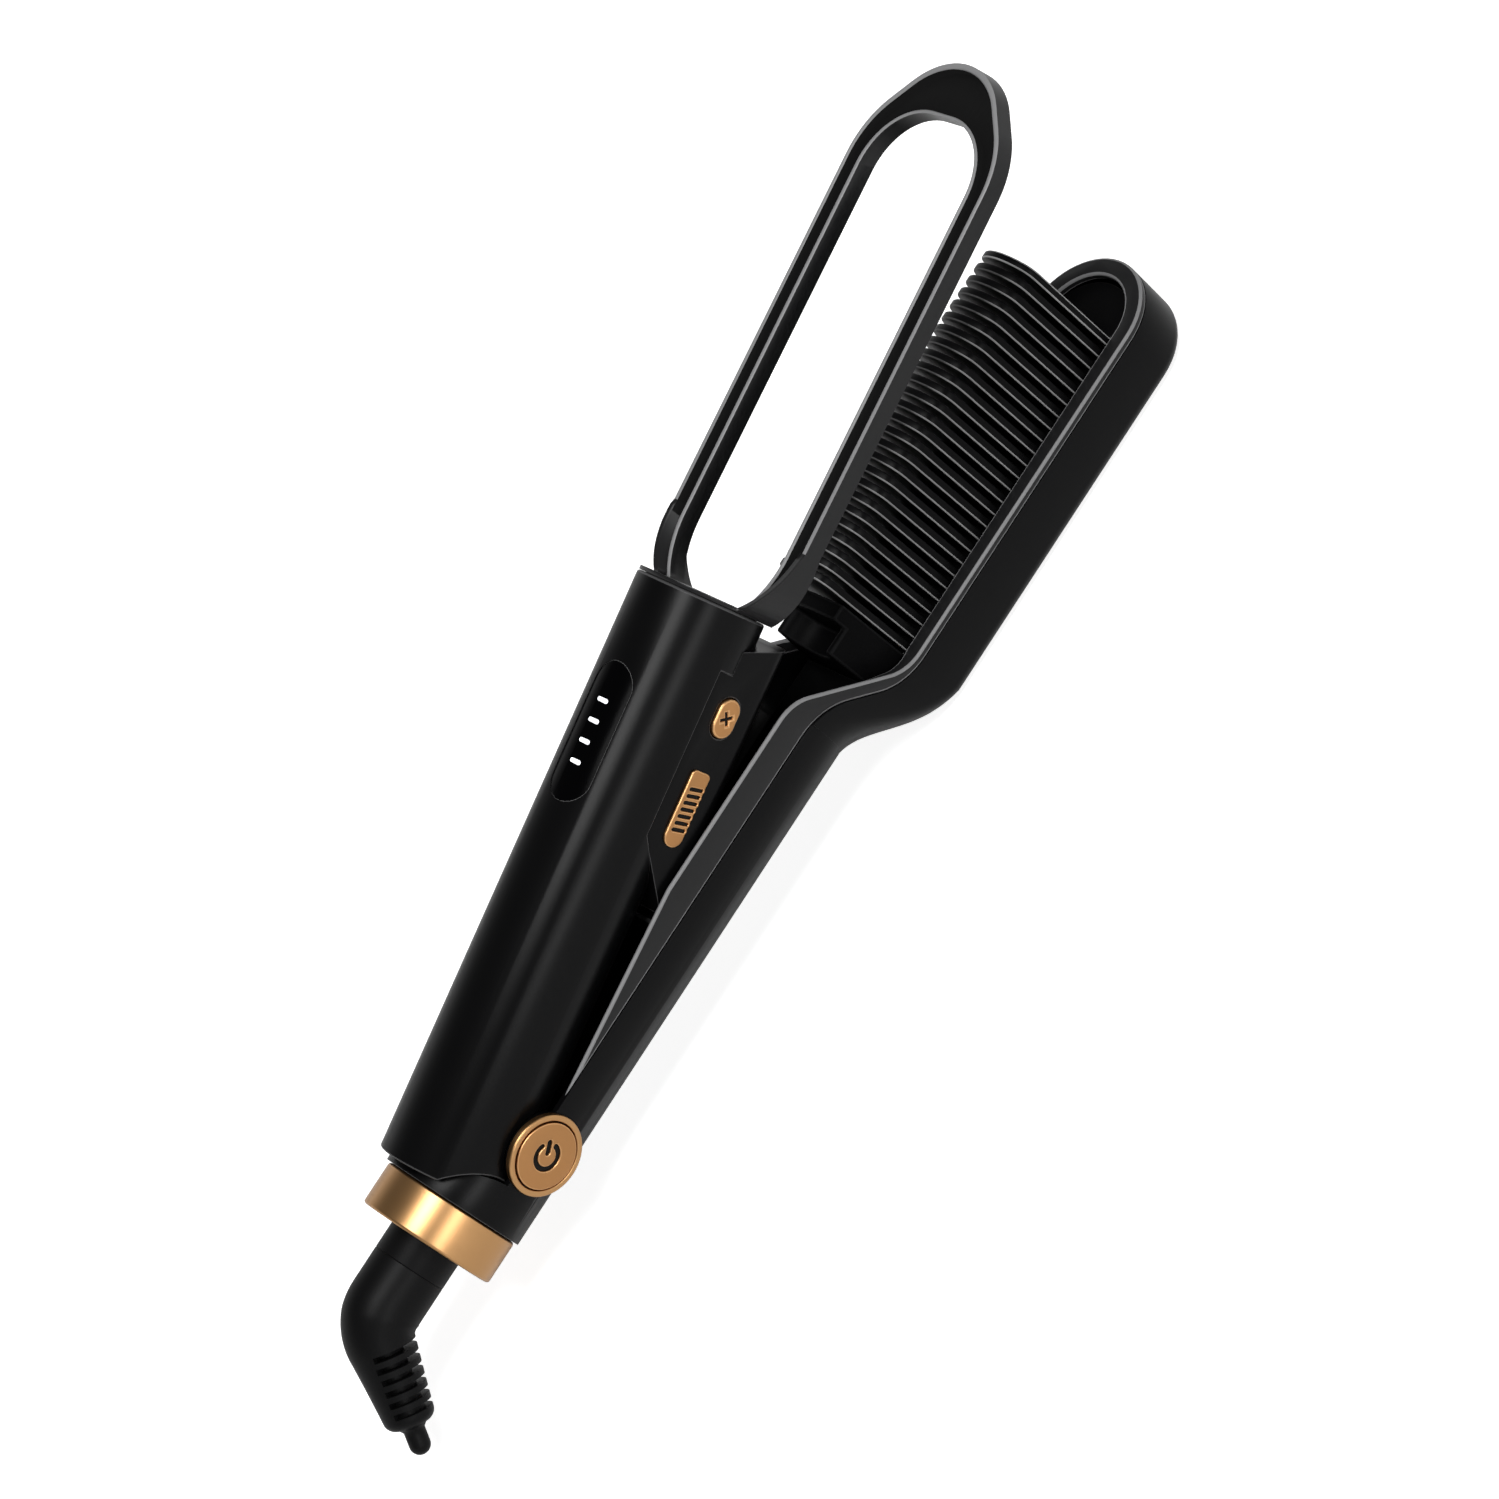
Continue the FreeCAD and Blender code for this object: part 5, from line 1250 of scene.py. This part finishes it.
@dataclass
class Tail(SubAssembly):
    """The tail ring and the slotted cord boot, in millimetres.

    Attributes:
        ring_front and on: the ring, with the hole in its end wall and the rounding of its edges.
        stem_end, stem_radius: where the boot leaves the stem, and its radius there.
        bend_start and on: the boot's bend, and its length past that.
        taper_start, taper_bulge: share of the bend before the taper, and the taper's bulge.
        tip_radius, tip_round: radius and rounding of the boot's end.
        nose_radius and on: the rounded nose and its least radius.
        slot_count and on: the slots along the boot.
        slot_core, slot_back, slot_lip: radius inside a slot, the spine it leaves, and its lip.
        bend_steps and on: facets along and around the boot.
        cap_share: how much of the nose's cap is drawn as rings.
        sharp: edges of the boot sharper than this, in degrees, stay sharp.
    """

    ring_front: float = -20.7
    ring_rear: float = -31.8
    ring_radius: float = 17.3
    ring_bore: float = 14.1
    ring_hole: float = 9.6
    ring_wall: float = 0.9
    ring_edge: float = 0.8
    ring_inner_edge: float = 0.15
    ring_steps: int = 6
    stem_end: float = 38.8
    stem_radius: float = 9.2
    bend_start: float = 48.0
    bend_radius: float = 11.2
    bend_angle: float = math.radians(55.0)
    boot_length: float = 19.8
    taper_start: float = 0.35
    taper_bulge: float = 0.25
    tip_radius: float = 6.0
    tip_round: float = 2.4
    nose_radius: float = 2.6
    nose_length: float = 4.8
    nose_least: float = 0.02
    slot_count: int = 6
    slot_first: float = 0.6
    slot_pitch: float = 2.9
    slot_width: float = 1.5
    slot_core: float = 4.5
    slot_back: float = 3.6
    slot_lip: float = 0.12
    bend_steps: int = 30
    tip_steps: int = 14
    nose_steps: int = 4
    cap_steps: int = 10
    cap_share: float = 10 / 10.3
    around: int = 120
    sharp: float = 42.0

    @property
    def straight(self) -> float:
        """Return the boot's length before its bend."""
        return self.bend_start - self.stem_end

    @property
    def bend(self) -> float:
        """Return the length of the bend's middle line."""
        return self.bend_radius * self.bend_angle

    @property
    def end(self) -> float:
        """Return the boot's length without its nose."""
        return self.straight + self.bend + self.boot_length

    def ring(self) -> None:
        """Build the metal ring with its end wall."""
        wall = self.ring_rear + self.ring_wall
        profile = [
            (self.ring_rear, self.ring_radius, self.ring_edge),
            (self.ring_rear, self.ring_hole, self.ring_inner_edge),
            (wall, self.ring_hole, self.ring_inner_edge),
            (wall, self.ring_bore, self.ring_inner_edge),
            (self.ring_front, self.ring_bore, self.ring_inner_edge),
            (self.ring_front, self.ring_radius, self.ring_edge),
        ]
        shape = Shape.lathe(Draw.rounded(profile, self.ring_steps))
        self.dresser.replace("tail_ring", Shape.finish(shape, "tail_ring", Arm.BRUSH.matrix))

    def middle(self, s: float) -> tuple[Vector, Vector]:
        """Find a place on the boot's middle line.

        Args:
            s: distance along the line from the stem's end.

        Returns:
            The place and the direction of the boot's inner side.
        """
        a = min(max(s - self.straight, 0.0), self.bend) / self.bend_radius
        ahead = Vector((-math.cos(a), 0.0, -math.sin(a)))
        inner = Vector((math.sin(a), 0.0, -math.cos(a)))
        if s <= self.straight:
            return Vector((-self.stem_end - s, 0.0, 0.0)), inner
        centre = Vector((-self.bend_start, 0.0, -self.bend_radius))
        past = max(0.0, s - self.straight - self.bend)
        return centre - inner * self.bend_radius + ahead * past, inner

    def radius(self, s: float) -> float:
        """Find the boot's radius.

        Args:
            s: distance along its middle line from the stem's end.

        Returns:
            The radius there.
        """
        left = self.end - s
        if left < 0.0:
            past = max(-left - self.nose_length, 0.0)
            return math.sqrt(max(self.nose_radius ** 2 - past ** 2, self.nose_least ** 2))
        start = self.straight + self.bend * self.taper_start
        t = min(max((s - start) / (self.end - start), 0.0), 1.0)
        share = t * (1 + self.taper_bulge * (1 - t))
        plain = self.stem_radius + (self.tip_radius - self.stem_radius) * share
        if left < self.tip_round:
            rise = math.sqrt(max(self.tip_round ** 2 - (self.tip_round - left) ** 2, 0.0))
            return max(plain - self.tip_round + rise, self.nose_radius)
        return plain

    def stations(self) -> list[tuple[float, bool]]:
        """List the boot's rings.

        Returns:
            The distance of each along the middle line, and whether it lies in a slot.
        """
        start, lip = self.straight + self.bend, self.slot_lip
        rows = [(start * i / self.bend_steps, False) for i in range(self.bend_steps + 1)]
        for index in range(self.slot_count):
            low = start + self.slot_first + self.slot_pitch * index
            high = low + self.slot_width
            rows += [(low - lip, False), (low, False), (low + lip / 4, True)]
            rows += [(high - lip / 4, True), (high, False), (high + lip, False)]
        for end, steps in (
            (self.end, self.tip_steps), (self.end + self.nose_length, self.nose_steps)
        ):
            last = rows[-1][0]
            rows += [(last + (end - last) * i / steps, False) for i in range(1, steps + 1)]
        last = rows[-1][0]
        for i in range(1, self.cap_steps + 1):
            turn = math.pi / 2 * self.cap_share * i / self.cap_steps
            rows.append((last + self.nose_radius * math.sin(turn), False))
        return rows

    def boot(self) -> None:
        """Build the bent boot with its slots and its nose."""
        rings = []
        sideways = Vector((0.0, 1.0, 0.0))
        spokes = Draw.circle(1.0, self.around)
        for s, in_slot in self.stations():
            place, inner = self.middle(s)
            radius = self.radius(s)
            ring = []
            for c, d in spokes:
                cut = in_slot and radius * c > -self.slot_back
                depth = self.slot_core if cut else radius
                ring.append(place + inner * depth * c + sideways * depth * d)
            rings.append(ring)
        mesh = Shape.finish(Shape.tube(rings), "cord_boot", Arm.SWIVEL.matrix, self.sharp)
        self.dresser.replace("cord_boot", mesh)

    def build(self) -> None:
        """Build the ring and the boot."""
        self.ring()
        self.boot()


@dataclass
class Screws(SubAssembly):
    """Screws under the head and under the handle, in millimetres.

    Attributes:
        head_radius and on: a screw's head, the cross in it and its shank.
        head_first and on: places, level and reach of the screws under the brush's head.
        loop_place and on: the same for the screws of the loop.
    """

    head_radius: float = 2.1
    head_height: float = 1.3
    head_edge: float = 0.3
    head_steps: int = 40
    cross_half: float = 1.25
    cross_width: float = 0.5
    cross_depth: float = 0.7
    shank_radius: float = 1.1
    shank_edge: float = 0.1
    shank_steps: int = 24
    head_first: float = 148.8
    head_last: float = 232.15
    head_side: float = 6.5
    head_level: float = -31.7
    head_reach: float = 14.8
    loop_place: float = 124.1
    loop_side: float = 5.0
    loop_level: float = -8.9
    loop_reach: float = 8.0

    def screw(self, arm: Arm, place: Triple, reach: float) -> bpy.types.Mesh:
        """Make one screw whose head faces down.

        Args:
            arm: frame of the screw.
            place: middle of the head's face.
            reach: length of the shank.

        Returns:
            The screw.
        """
        x, y, z = place
        height = self.head_height
        rim = Draw.circle(self.head_radius, self.head_steps)
        head = Shape.plate(
            [rim, Draw.cross(self.cross_half, self.cross_width)], height, self.head_edge
        )
        rod = Draw.circle(self.shank_radius, self.shank_steps)
        shank = Shape.plate([rod], reach + height - self.cross_depth, self.shank_edge)
        meshes = [
            Shape.finish(shape, "screw", arm.matrix @ Facing.DOWN.matrix((x, y, z + height + lift)))
            for shape, lift in ((head, 0.0), (shank, reach))
        ]
        return joined("screw", *meshes)

    def build(self) -> None:
        """Build both groups of screws."""
        place = (self.head_first, -self.head_side, self.head_level)
        first = self.screw(Arm.BRUSH, place, self.head_reach)
        along = Vector((self.head_last - self.head_first, 0.0, 0.0)) * MM
        aside = Vector((0.0, 2 * self.head_side, 0.0)) * MM
        self.dresser.replace("head_screws", CopyRow.spread(first, "steel", 2, along, 2, aside))
        place = (self.loop_place, -self.loop_side, self.loop_level)
        first = self.screw(Arm.LOOP, place, self.loop_reach)
        aside = Vector((0.0, 2 * self.loop_side, 0.0)) * MM
        self.dresser.replace("loop_screws", CopyRow.spread(first, "steel", 2, aside))


@dataclass(frozen=True)
class SoftBox:
    """A long soft box that hangs along the brush.

    Attributes:
        name: its name.
        way: direction from the brush to the box.
        radiance: its brightness, where 1 shows as white.
        width: its width in metres.
        length: its length in metres.
        distance: how far it hangs from the brush in metres.
    """

    name: str
    way: Triple
    radiance: float
    width: float
    length: float = 0.9
    distance: float = 1.3


@dataclass
class Stage:
    """Floor, world, lights and camera.

    Attributes:
        floor_size: edge of the floor in metres.
        floor_level: height of the floor in metres.
        floor_grey: its plain colour.
        floor_rough: its roughness.
        floor_glow: light the floor adds for the camera.
        floor_mirror: light the floor adds for mirrored rays.
        sky: strength of the sky that lights the brush.
        zenith: strength of the mirrored sky overhead, where the horizon is 1.
        horizon: heights between which the mirrored sky falls off.
        lit: place in the brush at which the soft boxes point, in metres.
        toward: direction from the brush to the camera before it is tilted.
        tilt: turn of that direction towards the tail in radians.
        roll: turn of the picture in radians.
        aim: place in the brush at the middle of the picture, in metres.
        distance: from there to the camera in metres.
        focal: focal length in pixels of the photograph.
        image: width of the photograph in pixels.
        sensor: width of the sensor in millimetres.
        clip: nearest and farthest distance that is drawn, in metres.
    """

    floor_size: float = 8.0
    floor_level: float = -0.0006
    floor_grey: float = 0.8
    floor_rough: float = 0.9
    floor_glow: float = 0.8
    floor_mirror: float = 0.1
    sky: float = 0.12
    zenith: float = 0.16
    horizon: tuple[float, float] = (0.05, 0.6)
    lit: Triple = (-0.08, 0.0, 0.04)
    toward: Triple = (0.0, -0.755, 0.656)
    tilt: float = math.radians(6.2)
    roll: float = math.radians(33.3)
    aim: Triple = (-0.08425, 0.0, HINGE.z)
    distance: float = 1.081
    focal: float = 4600.0
    image: int = 1499
    sensor: float = 36.0
    clip: tuple[float, float] = (0.05, 40.0)

    ALONG = Vector((1.0, 0.0, 0.0))
    WHITE = (1.0, 1.0, 1.0, 1.0)
    BOXES = (
        SoftBox("over", (0.0, -0.362, 0.932), 12.0, 0.42),
        SoftBox("front", (0.0, -0.924, 0.384), 6.0, 0.3),
    )

    @staticmethod
    def rays(graph: Graph, *kinds: Rays) -> bpy.types.NodeSocket:
        """Tell some kinds of rays from the others.

        Args:
            graph: where the nodes go.
            kinds: the kinds of rays.

        Returns:
            A socket that is 1 for them.
        """
        path = graph.add("ShaderNodeLightPath")
        found = path.outputs[kinds[0].value]
        for kind in kinds[1:]:
            found = graph.compute("MAXIMUM", found, path.outputs[kind.value])
        return found

    @staticmethod
    def ranged(
        graph: Graph, value: bpy.types.NodeSocket, low: Any, high: Any,
        span: tuple[float, float] = (0.0, 1.0),
    ) -> bpy.types.NodeSocket:
        """Map a value from one range to another.

        Args:
            graph: where the node goes.
            value: the value.
            low: start of the new range, a socket or a number.
            high: end of the new range, a socket or a number.
            span: the old range.

        Returns:
            The socket of the mapped value.
        """
        names = ("Value", "From Min", "From Max", "To Min", "To Max")
        feed = dict(zip(names, (value, *span, low, high)))
        return graph.add("ShaderNodeMapRange", feed).outputs["Result"]

    def world(self) -> None:
        """Set a soft light that shows as a white horizon under a grey sky."""
        world = bpy.data.worlds.new("studio")
        bpy.context.scene.world = world
        world.use_nodes = True
        graph = Graph(world.node_tree)
        place = graph.add("ShaderNodeTexCoord").outputs["Generated"]
        height = graph.add("ShaderNodeSeparateXYZ", {"Vector": place}).outputs["Z"]
        seen = self.ranged(graph, height, 1.0, self.zenith, self.horizon)
        level = self.ranged(graph, self.rays(graph, *Rays), self.sky, seen)
        graph.feed(graph.tree.nodes["Background"], {"Color": self.WHITE, "Strength": level})

    def floor(self) -> None:
        """Lay the plain pale floor under the head."""
        half, level = self.floor_size / 2, self.floor_level
        mesh = bpy.data.meshes.new("floor")
        corners = ((-half, -half), (half, -half), (half, half), (-half, half))
        mesh.from_pydata([(x, y, level) for x, y in corners], [], [(0, 1, 2, 3)])
        floor = add_object("floor", mesh)
        material = bpy.data.materials.new("floor_pale")
        material.use_nodes = True
        graph = Graph(material.node_tree)
        mirrored = self.rays(graph, Rays.GLOSSY, Rays.TRANSMISSION)
        mirrored = self.ranged(graph, mirrored, 0.0, self.floor_mirror)
        glow = self.ranged(graph, self.rays(graph, Rays.CAMERA), mirrored, self.floor_glow)
        graph.feed(graph.tree.nodes["Principled BSDF"], {
            "Base Color": (*[self.floor_grey] * 3, 1.0), "Roughness": self.floor_rough,
            "Specular IOR Level": 0.0, "Emission Color": self.WHITE, "Emission Strength": glow,
        })
        mesh.materials.append(material)

    def hang(self, box: SoftBox) -> None:
        """Hang a soft box.

        Args:
            box: what hangs there.
        """
        data = bpy.data.lights.new(box.name, "AREA")
        data.shape = "RECTANGLE"
        data.size, data.size_y = box.length, box.width
        data.energy = box.radiance * math.pi * box.length * box.width
        back = Vector(box.way).normalized()
        across = (self.ALONG - back * self.ALONG.dot(back)).normalized()
        turn = Matrix((across, back.cross(across), back)).transposed().to_4x4()
        place = Matrix.Translation(Vector(self.lit) + back * box.distance)
        add_object(box.name, data).matrix_world = place @ turn

    def camera(self) -> None:
        """Set the camera to the photograph's view."""
        toward = Vector(self.toward).normalized()
        aside = toward.cross(self.ALONG).normalized()
        back = toward * math.cos(self.tilt) - self.ALONG * math.sin(self.tilt)
        along = self.ALONG * math.cos(self.tilt) + toward * math.sin(self.tilt)
        right = along * math.sin(self.roll) - aside * math.cos(self.roll)
        up = along * math.cos(self.roll) + aside * math.sin(self.roll)
        data = bpy.data.cameras.new("camera")
        data.sensor_fit = "HORIZONTAL"
        data.sensor_width = self.sensor
        data.lens = self.sensor * self.focal / self.image
        data.clip_start, data.clip_end = self.clip
        camera = add_object("camera", data)
        turn = Matrix((right, up, back)).transposed().to_4x4()
        camera.matrix_world = Matrix.Translation(Vector(self.aim) + back * self.distance) @ turn
        bpy.context.scene.camera = camera

    def build(self) -> None:
        """Build the whole stage."""
        bpy.context.scene.view_settings.view_transform = "Standard"
        self.world()
        self.floor()
        for box in self.BOXES:
            self.hang(box)
        self.camera()


def main() -> None:
    """Dress the part, report its pieces and set the stage."""
    logging.basicConfig(level=logging.INFO)
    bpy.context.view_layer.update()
    dresser = Dresser(frame)
    for node in frame["nodes"]:
        slot = dresser.slot_of(node)
        dresser.coat(dresser.mesh_of(node), slot)
        LOG.info("%s: painted %s", node, slot)
    for part in (Mouldings, Loop, Comb, Keys, Tail, Screws):
        LOG.info("building %s", part.__name__)
        part(dresser).build()
    for piece in dresser.pieces:
        LOG.info("%s: %d faces added", piece.name, len(piece.data.polygons))
    Stage().build()


if __name__ == "__main__":
    main()
